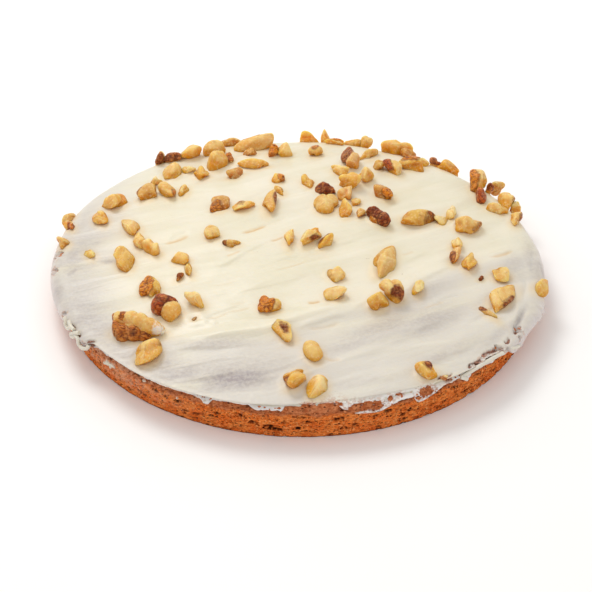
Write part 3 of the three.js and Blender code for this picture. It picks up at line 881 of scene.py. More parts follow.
def crumb_relief():
    """Pores, open holes, grain and lumps of the torn side; keeps how deep each point lies in a pore, for the
    painted shade there.
    """
    graph, sizes, output = new_relief("Crumb Relief", [
        ("Pore Size", 6.5), ("Pore Depth", 3.0), ("Pore Share", 0.55),
        ("Small Pore Size", 2.9), ("Small Pore Depth", 1.8), ("Small Pore Share", 0.55),
        ("Grain Size", 2.2), ("Grain Depth", 0.85), ("Lump Size", 7.0), ("Lump Depth", 1.0),
        ("Dab Rise", 0.7), ("Flatness", 2.8), ("Seed", 3.0)])
    place = graph.vector("MULTIPLY", millimetres(graph), graph.join(1.0, 1.0, sizes["Flatness"]))
    place = graph.vector("ADD", place, graph.join(0.0, 0.0, graph.times(sizes["Seed"], 57.0)))
    cloud = graph.node("ShaderNodeTexNoise", {"Vector": place, "Scale": 0.45, "Detail": 1.0}).outputs["Color"]
    bent = graph.vector("ADD", place, graph.vector("SCALE", cloud, 2.4))

    def pores(size, depth, share):
        distance, colour = graph.cells(bent, graph.per(size))
        chance = graph.node("ShaderNodeSeparateXYZ", {0: colour})
        edge = graph.between(chance.outputs[1], 0.0, 1.0, 0.2, 0.48)
        hole = graph.between(distance, edge, graph.times(edge, 0.35))
        return graph.times(hole, graph.maths("LESS_THAN", chance.outputs[0], share), depth)

    soft = graph.less(1.0, graph.times(read(graph, "crust"), 0.3))
    both = [pores(sizes[kind + " Size"], sizes[kind + " Depth"], sizes[kind + " Share"])
            for kind in ("Pore", "Small Pore")]
    pore = graph.plus(graph.times(graph.plus(*both), soft), read(graph, "hollow"))
    grain = graph.ripple(place, graph.per(sizes["Grain Size"]), 3.0, 0.6)
    lump = graph.ripple(place, graph.per(sizes["Lump Size"]))
    dab = graph.times(read(graph, "dab"), sizes["Dab Rise"])
    height = graph.plus(
        graph.times(grain, 2.0, sizes["Grain Depth"]), graph.times(lump, 2.0, sizes["Lump Depth"]),
        graph.times(pore, -1.0), dab)
    height = graph.times(height, read(graph, "open"))
    surface = raise_surface(graph, sizes["Surface"], height)
    surface = keep(graph, surface, "pore", graph.between(pore, 0.15, 0.95))
    close_relief(graph, surface, sizes, output)
    return graph.tree


def make_sponge():
    material = sponge_finish()
    piece = place_piece("sponge_crumb", sponge_mesh(), material)
    grow(piece, crumb_relief(), material)
    keep_above_floor(piece.data)
    return piece


def keep_above_floor(mesh):
    """Its lumps don't reach below the base."""
    points = places_of(mesh)
    points[:, 2] = np.maximum(points[:, 2], 0.0)
    mesh.vertices.foreach_set("co", (points * MM).astype(np.float32).ravel())
    mesh.update()


# ---- Walnuts -----------------------------------------------------------------------------------------

meats = {
    "tan": paint(221, 183, 106), "golden": paint(214, 168, 62), "pale": paint(226, 198, 140),
    "amber": paint(186, 124, 8), "brownish": paint(204, 160, 78), "olive": paint(206, 170, 96),
    "pink": paint(218, 172, 108), "crumb": paint(150, 88, 46),
}
rinds = {
    "brown": paint(182, 108, 34), "red": paint(172, 82, 24), "dark": paint(136, 72, 20),
    "purple": paint(152, 94, 56), "orange": paint(206, 130, 24), "deep": paint(126, 54, 14),
}
TOP = 999    # the side of a rind that lies on top of its piece

# Each piece: x, y, length, width, height above the frosting, turn in degrees from +X and colour of the meat,
# then for a piece with rind its colour, the side it lies on in degrees, and how much of the piece it covers.
walnuts = [
    # front left
    (-74, -66, 28, 15, 11, -14, "tan", "brown", 215, 0.5),
    (-61, -52, 18, 13, 9.5, -50, "tan", "red", 125, 0.5),
    (-71, -33, 16, 11, 6, -75, "golden", "orange", 170, 0.5),
    (-68, -82, 15, 13, 8, 75, "tan", "dark", 40, 0.03), (-48, -47, 11, 7, 7, -50, "pale"),
    (-57, -12, 11, 9, 5.5, -60, "tan"), (-53, -20, 9, 4, 3, -70, "tan"),
    (-57, -25, 6, 3, 2, 60, "brownish", "dark", TOP, 0.5),
    (-13, -52, 11, 9, 6, -20, "tan", "orange", 195, 0.48),
    # front right
    (7, -83, 14, 9, 5, -75, "tan"), (-1, -100, 15, 10, 8, 60, "golden", "brown", 200, 0.05),
    (99, -37, 26, 11, 5, 52, "tan", "dark", -40, 0.04),
    (-6, -69, 15, 8, 4.5, -55, "tan", "dark", TOP, 0.07), (9, -105, 14, 10, 6, 70, "pale"),
    (58, -94, 10, 8, 7.5, 5, "golden", "deep", TOP, 0.09),
    (90, -50, 11, 4, 2, -50, "pink", "dark", 135, 0.3), (38, -49, 10, 9, 7, 60, "golden"),
    (45, -42, 13, 10, 9, -25, "tan", "deep", -50, 0.1), (58, -36, 9, 5.5, 3.5, 80, "pale"),
    (120, -23, 16, 8, 3.5, 55, "golden"), (100, -18, 12, 10, 4, 60, "tan"),
    (66, -96, 4, 3, 1.5, 30, "crumb"), (-48, -58, 3, 2, 1.4, 60, "crumb"),
    (90, -22, 3.5, 2, 1, 40, "crumb", "dark", TOP, 0.8),
    # middle
    (43, -15, 27, 12, 6.5, 72, "tan"), (85, -12, 15, 8, 5, 80, "golden"), (18, -27, 11, 8, 4.5, 140, "tan"),
    (18, -43, 11, 11, 6, -20, "pale"), (78, -7, 11, 5, 5, 78, "pink", "dark", 200, 0.22),
    (80, 4, 9, 6, 4.5, 82, "pale"), (7, 4, 15, 8, 6, 62, "tan", "dark", -50, 0.08),
    (14, 1, 11, 6, 6, 50, "golden", "dark", 140, 0.14), (-4, 4, 14, 5, 4.5, 88, "tan"),
    (-33, 1, 9, 6, 3.5, -20, "brownish", "dark", 190, 0.15), (-43, 10, 12, 8, 5.5, -70, "tan"),
    # left
    (-85, -10, 19, 10, 6, -78, "golden"), (-84, 21, 20, 9, 6, -72, "tan"),
    (-102, 32, 14, 8, 5, -65, "golden"), (-96, 46, 14, 13, 7.5, 0, "golden"),
    (-79, 7, 12, 7, 4.5, -85, "tan"), (-72, -2, 13, 7, 7, -58, "tan"), (-104, 0, 8, 5, 3, -55, "tan"),
    (-119, 14, 10, 6, 4, -62, "brownish"), (-118, 30, 11, 5, 3.5, -68, "tan", "brown", -60, 0.4),
    (-119, 41, 10, 6, 5.5, 80, "brownish"),
    # back left
    (-79, 53, 14, 11, 6.5, 60, "brownish", "orange", 180, 0.12), (-44, 85, 14, 10, 9, 62, "tan"),
    (-24, 85, 17, 9, 5.5, -5, "golden"), (-24, 108, 23, 9, 9.5, 2, "tan", "brown", 90, 0.25),
    (-40, 38, 14, 10, 5.5, 80, "amber", "orange", -90, 0.12),
    (-14, 38, 19, 8, 5, 80, "brownish", "dark", 0, 0.05), (-76, 68, 8, 6, 5.5, 60, "pale"),
    (-68, 54, 14, 9, 6.5, -60, "tan", "brown", -20, 0.1), (-60, 56, 11, 6, 3.5, 88, "tan"),
    (-68, 77, 13, 11, 5.5, 60, "tan"), (-59, 80, 8, 6, 4, 10, "pale"), (-52, 75, 9, 8, 5.5, -45, "golden"),
    (-70, 96, 12, 6, 5, 5, "pink", "purple", TOP, 0.7), (-75, 94, 7, 6, 7.5, 40, "pale", "dark", -90, 0.3),
    (-59, 100, 13, 10, 8, 0, "tan"), (-46, 103, 13, 10, 8.5, 0, "tan"),
    (-37, 115, 12, 7, 5.5, -20, "brownish"), (-37, 92, 11, 5, 4, 80, "brownish", "brown", TOP, 0.55),
    (-33, 72, 11, 7, 5, 55, "amber"), (-26, 99, 8, 6, 4.5, 20, "amber"),
    (-13, 100, 11, 6, 5.5, 72, "amber", "orange", TOP, 0.5), (-7, 100, 9, 8, 6, 0, "tan"),
    (-28, 35, 13, 10, 4.5, 60, "tan", "brown", TOP, 0.08),
    (-10, 67, 10, 7, 3.5, 88, "golden", "orange", 0, 0.3), (-9, 54, 10, 5, 3, -70, "golden"),
    # back right
    (15, 36, 18, 14, 6.5, 88, "tan"), (37, 66, 12, 9, 8.5, 70, "tan"),
    (29, 86, 14, 11, 9, 80, "pink", "purple", 140, 0.35),
    (52, 79, 14, 8, 7.5, -65, "tan", "red", 200, 0.25), (55, 107, 19, 10, 8.5, 8, "tan"),
    (62, 85, 15, 10, 7, 0, "golden", "orange", TOP, 0.12),
    (46, 50, 15, 10, 7, -60, "amber", "orange", -60, 0.3),
    (41, 23, 16, 8, 7, -48, "amber", "deep", TOP, 0.65),
    (62, 27, 20, 12, 7.5, 14, "golden", "brown", -10, 0.05),
    (87, 22, 16, 14, 8, 25, "tan", "brown", -20, 0.03), (6, 63, 11, 7, 4, -70, "golden"),
    (15, 51, 11, 8, 6, -25, "brownish", "deep", TOP, 0.65), (25, 49, 11, 8, 5, 75, "pink"),
    (25, 32, 14, 7, 5.5, 88, "golden"), (31, 42, 9, 5, 3, 80, "brownish"),
    (28, 59, 12, 10, 7.5, 0, "golden"), (23, 77, 12, 8, 4.5, -40, "tan"), (40, 98, 13, 9, 5.5, 80, "tan"),
    (45, 84, 7, 6, 5, 0, "brownish"), (62, 101, 9, 7, 5.5, 0, "amber"), (70, 91, 6, 5, 4.5, 0, "pale"),
    (76, 94, 7, 5, 5, 30, "brownish", "purple", TOP, 0.4), (83, 89, 13, 8, 7, -20, "golden"),
    (7, 119, 11, 5, 6.5, 0, "golden"), (16, 120, 7, 6, 8.5, 60, "tan"),
    (21, 115, 11, 4, 4, 0, "golden", "orange", TOP, 0.12), (32, 116, 12, 5, 4.5, 0, "golden"),
    (39, 114, 7, 6, 7.5, 0, "tan", "purple", 90, 0.15), (11, 102, 13, 8, 6, 82, "tan", "orange", TOP, 0.1),
    (33, 28, 7, 5, 4, 88, "brownish"), (74, 26, 10, 7, 4, 80, "pale"), (80, 35, 13, 5, 4.5, 75, "pale"),
    # right
    (97, 68, 17, 10, 10, 82, "tan", "orange", 200, 0.22),
    (110, 55, 15, 9, 7.5, 76, "tan", "brown", 0, 0.09), (97, 56, 13, 6, 6, -78, "amber", "red", TOP, 0.6),
    (103, 66, 6, 4, 6, 80, "brownish", "dark", TOP, 0.5), (109, 74, 8, 6, 6.5, 40, "olive"),
    (105, 43, 12, 8, 5, -10, "tan"), (116, 53, 9, 6, 6, 60, "tan"),
    (114, 35, 14, 6, 5.5, 80, "tan", "brown", 0, 0.07),
]


def unit(vector):
    vector = np.asarray(vector, float)
    return vector / np.linalg.norm(vector)


def directions(points):
    return points / np.linalg.norm(points, axis=1)[:, None]


def ball(levels):
    """An even ball of triangles: unit directions and faces."""
    mesh = bpy.data.meshes.new("ball")
    shell = bmesh.new()
    bmesh.ops.create_icosphere(shell, subdivisions=levels, radius=1.0)
    shell.to_mesh(mesh)
    shell.free()
    points = np.empty(3 * len(mesh.vertices), np.float32)
    mesh.vertices.foreach_get("co", points)
    faces = np.empty(3 * len(mesh.polygons), np.int32)
    mesh.polygons.foreach_get("vertices", faces)
    bpy.data.meshes.remove(mesh)
    return directions(points.reshape(-1, 3).astype(float)), faces.reshape(-1, 3)


def turned_from(points, way):
    """Angle in radians between each point and a direction, seen from the middle."""
    return np.arccos(np.clip(directions(points) @ unit(way), -1, 1))


def plain_look(count):
    """What each point of a piece shows: rind where cover is above 0, the tone of the break, a pale rim, a
    brown line, and a smear of frosting."""
    return Sizes(cover=np.full(count, -2.0), tone=np.zeros(count), pale=np.zeros(count),
                 line=np.zeros(count), smear=np.zeros(count))


def chop(points, look, way, depth, tone, skinned):
    """A flat cut with a rounded edge. Its rim is paler, and a brown line of the nut's skin may follow it."""
    over = points @ way - depth
    points -= 0.5 * (over + np.hypot(over, nut.cut_round))[:, None] * way
    face = smooth(over, -0.02, 0.06)
    look.tone = mix(look.tone, tone, face)
    look.pale = np.maximum(look.pale * (1 - 0.7 * face), hump(over - 0.05, 0.1))
    look.line = np.maximum(look.line * (1 - face), skinned * hump(over, 0.045))


def chip_away(points, look, chip, count, near):
    """Small breaks at the corners that stand out."""
    for _ in range(count):
        way = unit([chip() - 0.5, chip() - 0.5, chip() - 0.4])
        depth = mix(near, nut.chip_far, chip())
        chop(points, look, way, depth, 2 * chip() - 1, float(chip() < nut.skinned_chip))


def broken_kernel(index, ways):
    """A lumpy piece with knife cuts, dents and small breaks."""
    roll, chip = dice(index + 1), dice(index + 400)
    rise = np.ones(len(ways))
    for _ in range(nut.lumps):
        way = unit([roll() - 0.5, roll() - 0.5, roll() - 0.5])
        count = 2 + 2.5 * roll()
        shift = 6.28 * roll()
        rise += nut.lump_rise * np.cos(count * (ways @ way) + shift)
    points, look = ways * rise[:, None], plain_look(len(ways))
    for _ in range(nut.cuts):
        way = unit([roll() - 0.5, roll() - 0.5, 0.75 * (roll() - 0.35)])
        depth = mix(nut.cut_near, nut.cut_far, roll())
        chop(points, look, way, depth, 1.6 * chip() - 0.6, float(chip() < 0.5))
    for _ in range(nut.dents):
        way = unit([chip() - 0.5, chip() - 0.5, 0.8 * (chip() - 0.4)])
        dent = hump(turned_from(points, way), mix(nut.dent_narrow, nut.dent_wide, chip()))
        points *= 1 - mix(nut.dent_shallow, nut.dent_deep, chip()) * dent[:, None]
        # Painted shade: the dents are darker.
        look.tone = look.tone + 0.5 * dent
    chip_away(points, look, chip, nut.chips, nut.chip_near)
    look.tone = np.clip(look.tone, -1, 1)
    return points, look


def rind_folds(points, toward, index):
    """The nut's rounded outer folds, with furrows between them, on the side that still has its rind."""
    roll = dice(index + 700)
    nearest = np.full(len(points), math.pi)
    for _ in range(nut.folds):
        way = unit(toward) + nut.fold_spread * np.array([roll() - 0.5, roll() - 0.5, roll() - 0.5])
        nearest = np.minimum(nearest, turned_from(points, way))
    bulge = np.sqrt(np.clip(1 - (nearest / nut.fold_width) ** 2, 0, 1))
    share = smooth(turned_from(points, toward), 1.7, 1.1)
    return points * (1 - nut.furrow * (1 - bulge) * share)[:, None]


def lobed_kernel(half, ways, lobes, index):
    """A piece of round lobes round a smaller core, chipped a little. The lobes are in millimetres."""
    aim = directions(ways * half)
    core = 1 / np.sqrt(((aim / (nut.core * half)) ** 2).sum(1))
    reach = {"meat": core, "rind": np.zeros(len(ways)), "smear": np.zeros(len(ways))}
    each = []
    for x, y, z, radius, kind in lobes:
        centre = np.array([x, y, z])
        ahead = aim @ centre
        inside = ahead ** 2 - centre @ centre + radius ** 2
        far = np.where(inside > 0, ahead + np.sqrt(np.maximum(inside, 0)), 0)
        reach[kind] = np.maximum(reach[kind], far)
        each.append(far)
    each = np.sort(each, axis=0)
    furthest = np.maximum.reduce(list(reach.values()))
    points, look = aim * furthest[:, None] / half, plain_look(len(ways))
    chip_away(points, look, dice(index + 400), nut.lobe_chips, nut.lobe_chip_near)
    brown = reach["rind"] - np.maximum(reach["meat"], reach["smear"])
    look.cover = np.clip(brown / 1.5, -1, 1)
    look.smear = smooth(reach["smear"] - np.maximum(reach["meat"], reach["rind"]), -0.3, 0.5)
    # A dark line where two lobes meet, painted shade.
    look.line = np.maximum(look.line, hump(each[-1] - each[-2], 0.5) * smooth(brown, -0.3, 0.2))
    return points, look


# Pieces that keep the whole nut's lobes, found by their x and y above. Each lobe: along, across and above the
# middle of the piece, its radius, and what it shows.
lobed = {
    (-74, -66): [(-10.0, 3.0, 3.4, 3.8, "meat"), (-3.0, 3.2, 3.6, 4.4, "meat"),
                 (1.6, 2.0, 3.6, 4.7, "meat"), (6.0, 0.8, 2.6, 4.6, "meat"), (8.8, 1.2, 1.4, 3.8, "meat"),
                 (-12.4, 4.0, 2.4, 3.0, "rind"), (-7.0, 3.2, 4.0, 3.3, "rind"),
                 (4.6, -3.8, -0.4, 3.4, "rind"), (-11.2, -2.2, 1.2, 4.0, "rind"),
                 (-6.2, -4.4, 0.6, 4.7, "rind"), (-0.4, -3.8, 0.8, 4.3, "rind"),
                 (9.6, -0.2, 2.6, 3.0, "smear"), (11.2, 1.4, 0.8, 2.6, "smear"),
                 (7.8, 1.6, 3.8, 2.4, "smear")],
    (-61, -52): [(-2.8, 0.6, 1.4, 5.5, "rind"), (-2.4, -2.0, 1.0, 5.0, "rind"),
                 (-0.8, 2.0, 1.6, 4.6, "rind"), (3.4, 0.2, 0.0, 5.6, "meat"),
                 (5.2, -0.6, -0.2, 4.9, "meat")],
    (41, 23): [(-3.8, 0.4, 0.8, 4.3, "rind"), (0.0, -0.2, 0.6, 4.1, "rind"), (3.7, 0.2, 0.2, 4.4, "rind"),
               (-0.2, -2.6, -1.6, 3.4, "meat")],
    (7, -83): [(-1.4, 0.0, 0.3, 4.4, "meat"), (1.4, 0.2, 0.1, 4.5, "meat"), (0.0, -0.1, 0.3, 4.6, "meat")],
    (15, 36): [(2.2, 3.4, 0.6, 5.2, "meat"), (2.8, -3.2, 0.4, 4.8, "meat"), (-2.8, 0.4, 0.0, 5.8, "meat")],
}


def lean(x, y):
    """How a piece leans with the frosting under it."""
    step, px, py = 3.0, 0.97 * x, 0.97 * y
    slope_x = float(frosting_top(px + step, py) - frosting_top(px - step, py)) / (2 * step)
    slope_y = float(frosting_top(px, py + step) - frosting_top(px, py - step)) / (2 * step)
    steep = math.hypot(slope_x, slope_y)
    if steep > nut.steepest:
        slope_x, slope_y = slope_x * nut.steepest / steep, slope_y * nut.steepest / steep
    up = Vector((-slope_x, -slope_y, 1.0)).normalized()
    return np.array(Vector((0, 0, 1)).rotation_difference(up).to_matrix()), np.array(up)


def one_walnut(index, ways):
    """One piece: its points in place, their places in the piece, and what each point shows."""
    x, y, length, width, height, turn = walnuts[index][:6]
    full = (1 + nut.sunk) * height
    half = np.array([length, width, full]) / 2
    turned = np.array(Matrix.Rotation(math.radians(turn), 3, "Z"))
    tilt, up = lean(x, y)
    fill = 1.0
    if (x, y) in lobed:
        shape, look = lobed_kernel(half, ways, lobed[x, y], index)
        fill = nut.lobed_fill
    else:
        shape, look = broken_kernel(index, ways)
        if len(walnuts[index]) > 7:
            side, share = walnuts[index][8:]
            a = math.radians(side - turn)
            toward = unit((0, 0, 1) if side == TOP else (math.cos(a), math.sin(a), 0.35))
            look.cover = ways @ toward - (1 - 2 * share)
            if share >= nut.folded_share:
                shape = rind_folds(shape, toward, index)
    low, high = shape.min(0), shape.max(0)
    shape = (shape - (low + high) / 2) / ((high - low) / 2)
    local = (shape * half * fill) @ turned.T
    # Painted shade: 1 at the bottom of the piece, fading out toward its top.
    look.low = 1 - smooth(local[:, 2] / height, -0.1, 0.65)
    centre = np.array([x, y, float(frosting_top(np.float64(x), np.float64(y)))]) + up * (height - full / 2)
    return local @ tilt.T + centre, local, look


def walnut_mesh(name, indices, levels):
    """Some of the pieces in one mesh, with what each point shows kept for the finish."""
    ways, faces = ball(levels)
    points, corners, grain, meat, rind = [], [], [], [], []
    looks = {"cover": [], "low": [], "tone": [], "pale": [], "line": [], "smear": []}
    for order, index in enumerate(indices):
        placed, local, look = one_walnut(index, ways)
        row = walnuts[index]
        roll = dice(index + 900)
        light = mix(nut.darkest, nut.lightest, roll())
        points.append(placed)
        corners.append(faces + order * len(ways))
        grain.append(local + [40.0 * index, 0, 0])
        meat.append(np.tile([*(np.array(meats[row[6]][:3]) * light), 1.0], (len(ways), 1)))
        rind.append(np.tile(rinds[row[7]] if len(row) > 7 else rinds["brown"], (len(ways), 1)))
        for label, values in looks.items():
            values.append(getattr(look, label))
    mesh = mesh_from(name, np.concatenate(points), np.concatenate(corners))
    mark(mesh, "grain_place", np.concatenate(grain), "FLOAT_VECTOR")
    mark(mesh, "meat", np.concatenate(meat), "FLOAT_COLOR")
    mark(mesh, "rind", np.concatenate(rind), "FLOAT_COLOR")
    for label, values in looks.items():
        mark(mesh, label, np.concatenate(values))
    return mesh


def grain_noise(graph, place, size, detail=2.0):
    """A noise between -0.5 and 0.5 in a piece's own millimetres."""
    return graph.ripple(place, 1.0 / size, detail, 0.55)


def torn_cover(graph, place, cover):
    """How far inside the rind a point lies, with a torn edge."""
    return graph.plus(graph.times(grain_noise(graph, place, 5.0, 3.0), 0.9), cover)


def rind_creases(graph, place):
    """0 along the rind's long wrinkles, rising beside them."""
    stretched = graph.vector("MULTIPLY", place, (0.45, 1.2, 0.8))
    return graph.maths("ABSOLUTE", grain_noise(graph, stretched, 2.6, 2.5))


def nut_grain():
    """Wrinkles of the rind and the uneven break of the meat."""
    graph, sizes, output = new_relief("Nut Grain", [
        ("Break Depth", 0.5), ("Grain Depth", 0.14), ("Wrinkle Depth", 0.2), ("Rind Rise", 0.25)])
    place = read(graph, "grain_place", "FLOAT_VECTOR")
    skin = graph.between(torn_cover(graph, place, read(graph, "cover")), -0.04, 0.05)
    crease = graph.between(rind_creases(graph, place), 0.0, 0.12, -1.0, 0.0)
    height = graph.plus(graph.times(grain_noise(graph, place, 4.5), 2.0, sizes["Break Depth"]),
                        graph.times(grain_noise(graph, place, 1.4), 2.0, sizes["Grain Depth"]),
                        graph.times(crease, sizes["Wrinkle Depth"], skin),
                        graph.times(skin, sizes["Rind Rise"]))
    close_relief(graph, raise_surface(graph, sizes["Surface"], height), sizes, output)
    return graph.tree


def tinted(graph, colour, tint):
    """A colour darkened by another."""
    return graph.node("ShaderNodeMix", {0: 1.0, 6: colour, 7: tint}, data_type="RGBA",
                      blend_type="MULTIPLY").outputs[2]


def share_of(graph, *parts):
    """The sum of some shares, kept between 0 and 1."""
    return graph.node("ShaderNodeClamp", {0: graph.plus(*parts)}).outputs[0]


def meat_colour(graph):
    """The nut's flesh: painted shade, a deeper amber, in its hollows and low down, and painted light on its
    top; paler at broken edges, with a few brown lines.
    """
    tone, pale, low = own(graph, "tone"), own(graph, "pale"), own(graph, "low")
    meat = own(graph, "meat", "Color")
    hollow, raised = graph.maths("MAXIMUM", tone, 0.0), graph.maths("MINIMUM", tone, 0.0)
    # Painted shade low down and in the dents, with random patches and darker broken faces.
    deep = share_of(
        graph, graph.times(low, 0.78), graph.times(patches(graph, 5.0, 0.45, 0.65), 0.5),
        graph.times(hollow, 0.35), graph.times(pale, -0.25))
    # Painted light on the top, with paler rims, faces and patches.
    light = share_of(
        graph, graph.times(pale, 0.15), graph.times(raised, -0.4),
        graph.times(patches(graph, 1.3, 0.5, 0.7), 0.45), graph.times(graph.less(1.0, low), 0.15))
    lines = graph.times(own(graph, "line"), patches(graph, 3.6, 0.42, 0.58))
    return layered(
        graph, meat,
        (deep, 1.0, tinted(graph, meat, paint(243, 198, 68))),
        (light, 1.0, paint(232, 208, 156)),
        (specks(graph, 2.0, 0.13, 0.4), 0.6, paint(150, 92, 44)),
        (lines, 0.5, paint(156, 90, 34)))


def rind_colour(graph, creases):
    """The nut's brown skin: mottled, with painted shade in its wrinkles and where its lobes meet."""
    rind = own(graph, "rind", "Color")
    rind = layered(graph, rind, (patches(graph, 2.4, 0.42, 0.66), 0.6, paint(210, 142, 76)))
    dark = tinted(graph, rind, paint(180, 124, 76))
    rind = layered(graph, rind, (patches(graph, 1.4, 0.48, 0.62), 0.6, dark))
    # Painted shade in the wrinkles.
    wrinkle = graph.between(creases, 0.0, 0.045, 0.8, 0.0)
    return layered(
        graph, rind,
        (wrinkle, 1.0, tinted(graph, rind, paint(124, 68, 26))),
        # Dark where the lobes meet, painted shade, and along the skin lines of the cuts.
        (own(graph, "line"), 0.7, paint(84, 34, 12)))


def walnut_finish():
    """Flesh, and skin with a torn, darker edge; a smear of frosting where a piece was dragged."""
    material, graph, shader = new_finish("chopped walnut", subsurface_weight=0.8, subsurface_scale=0.006)
    shader.inputs["Subsurface Radius"].default_value = (1.0, 0.75, 0.35)
    shader.inputs["Specular IOR Level"].default_value = 0.2
    place = own(graph, "grain_place", "Vector")
    torn = torn_cover(graph, place, own(graph, "cover"))
    skin = graph.between(torn, -0.04, 0.05)
    seam = graph.times(graph.between(torn, -0.16, -0.03), graph.between(torn, 0.0, 0.12, 1.0, 0.0))
    patchy = graph.between(grain_noise(graph, place, 2.6), -0.22, 0.0)
    smear = share_of(graph, graph.times(own(graph, "smear"), patchy))
    colour = layered(
        graph, meat_colour(graph),
        (skin, 1.0, rind_colour(graph, rind_creases(graph, place))),
        (seam, 0.55, paint(116, 62, 28)),
        (smear, 1.0, paint(228, 216, 206)))
    graph.feed(shader.inputs["Base Color"], colour)
    graph.feed(shader.inputs["Roughness"], graph.between(skin, 0.0, 1.0, 0.36, 0.3))
    bump(graph, shader, patches(graph, 0.9, 0.2, 0.8), 0.25, 0.8)
    return material


def make_walnuts():
    """The large pieces and the small ones, each kind in a mesh of its own fineness."""
    material, tree = walnut_finish(), nut_grain()
    pieces = []
    for name, levels, is_large in (("walnut_large", 5, True), ("walnut_small", 4, False)):
        chosen = [i for i, row in enumerate(walnuts) if (row[2] >= nut.large) == is_large]
        pieces.append(grow(place_piece(name, walnut_mesh(name, chosen, levels), material), tree, material))
    return pieces


# ---- Frosting ----------------------------------------------------------------------------------------

# Thin places where the cake shows through as lilac grey, some broad ones toward the front partly painted
# shade: x, y, half length, half width, turn, strength.
thin_places = [
    (-28, -98, 20, 7.5, 6, 1.0), (-30, -95, 34, 12, 4, 0.5), (-38, -76, 20, 4, 3, 0.5),
    (-75, -80, 36, 13, -42, 0.5), (38, -66, 30, 8, 30, 0.42), (62, -58, 20, 8, 38, 0.5),
    (60, -36, 16, 7, 40, 0.35), (-102, 10, 4.5, 3, 30, 0.5), (-94, -6, 7, 3, -20, 0.75),
    (-111, -13, 6, 3, 70, 0.65), (-117, -26, 14, 4, 105, 0.55), (-106, -44, 13, 5, 120, 0.35),
    (-58, -92, 26, 9, -24, 0.7), (-110, 0, 26, 13, 85, 0.5), (-100, -50, 32, 13, -70, 0.55),
    (118, -2, 20, 5, 88, 0.5), (108, -12, 16, 8, 70, 0.35), (66, -82, 22, 4, 38, 0.45),
    (24, -77, 22, 5, 20, 0.35), (-12, -104, 30, 4, 5, 0.25), (92, -40, 14, 5, 50, 0.25),
    (-112, 30, 20, 5, 80, 0.3), (30, -100, 22, 3, 14, 0.3), (95, -64, 18, 3, 48, 0.35),
    # The last two are painted shadow along grooves of the right rim.
    (105.5, -51, 11, 1.5, 66, 0.75), (122.2, -7, 9, 1.3, 97, 0.6),
]

# Where the thick creamy sweep ends toward the front.
cream_edge = [
    (-125, -34), (-100, -42), (-80, -58), (-60, -68), (-42, -72), (-26, -70), (-13, -68), (1, -60),
    (13, -55), (25, -50), (36, -47), (53, -35), (65, -23), (75, -13), (95, 0), (125, 12),
]

# Marks that the knife's edge left: x, y to x, y, then width, depth and how tan they are.
scratches = [
    (-27, 12, -16, 19, 1.4, 0.4, 0.95), (-66, 5.5, -55, 11.5, 1.1, 0.35, 0.75),
    (-13, 3, -7, 7, 0.9, 0.25, 0.7), (-10, -22, 4, -15, 0.8, 0.4, 0.3),
    (-42, -58, -32, -53, 0.9, 0.45, 0.25), (-32, -53, -22, -50, 0.8, 0.4, 0.25),
    (5, -48, 11, -47, 1.2, 0.25, 0.8), (5, -66, 20, -61, 1.0, 0.4, 0.2), (12, -86, 20, -87, 0.9, 0.3, 0.35),
    (97, -4, 108, 4, 1.0, 0.3, 0.6), (52, -7, 58, -3, 0.8, 0.25, 0.3), (60, -48, 70, -42, 0.8, 0.35, 0.25),
    (-40, -34, -30, -31, 0.7, 0.2, 0.15), (-31, -48, -24, -46, 0.8, 0.2, 0.15),
    (-35, -10, -28, -6, 0.8, 0.2, 0.5),
]

# Slots torn into the frosting beside its front edge: from and to in degrees, inset from the outline, half
# width and depth.
rim_slots = [
    (-49.4, -43.6, 1.5, 0.9, 1.6), (-44.6, -36.4, 2.3, 1.0, 1.9), (-57.8, -52.2, 1.4, 0.6, 1.0),
    (-31.8, -27.4, 3.2, 0.9, 1.6), (-36.2, -33.4, 3.0, 0.8, 1.3), (-153.4, -150.4, 1.2, 0.6, 1.3),
    (-150.2, -147.8, 1.0, 0.6, 1.3), (-145.8, -143.4, 1.0, 0.8, 1.8),
]


def slotted(angle, inset):
    """Depth of the torn slots."""
    degrees, depth = np.degrees(angle), np.zeros(np.shape(angle))
    degrees = np.where(degrees > 180, degrees - 360, degrees)
    wavy = 0.2 * np.sin(127 * angle) + 0.15 * np.sin(211 * angle + 1.4)
    for start, end, middle, half_width, deep in rim_slots:
        slot = fading(degrees, start, end) * hump(inset - middle - wavy, half_width)
        depth = np.maximum(depth, deep * slot)
    return depth


def flapped(angle):
    """How far the torn flap sticks out."""
    ragged = 1 + 0.16 * np.sin(118 * angle) + 0.12 * np.sin(203 * angle + 2.0)
    return frosting.flap_out * hump(degrees_from(angle, frosting.flap_middle), frosting.flap_spread) * ragged


# Bare spots in the frosting's edge where the crust shows: degrees, height, half width, half height.
bare_spots = [
    (-87.4, 19.3, 4.0, 0.8), (-82.4, 18.9, 6.5, 1.1), (-76.4, 16.8, 7.0, 2.0), (-72.6, 16.4, 4.4, 2.2),
    (-69.0, 18.4, 1.6, 1.0), (-66.8, 18.9, 2.2, 0.8), (-60.4, 17.0, 4.6, 2.2), (-62.6, 15.6, 2.0, 1.6),
    (-54.4, 18.6, 1.5, 1.2), (-46.5, 19.4, 3.2, 0.6), (-43.0, 19.4, 4.2, 0.8), (-38.4, 19.2, 1.6, 1.6),
    (-31.1, 17.2, 1.2, 1.4), (-29.4, 18.6, 1.0, 1.4), (-36.6, 18.2, 1.3, 0.8), (-158.2, 18.0, 1.6, 1.0),
    (-152.4, 17.0, 1.6, 1.4), (-146.6, 17.0, 1.0, 1.0), (177.6, 18.6, 3.6, 1.9), (-176.0, 18.0, 3.0, 1.5),
]


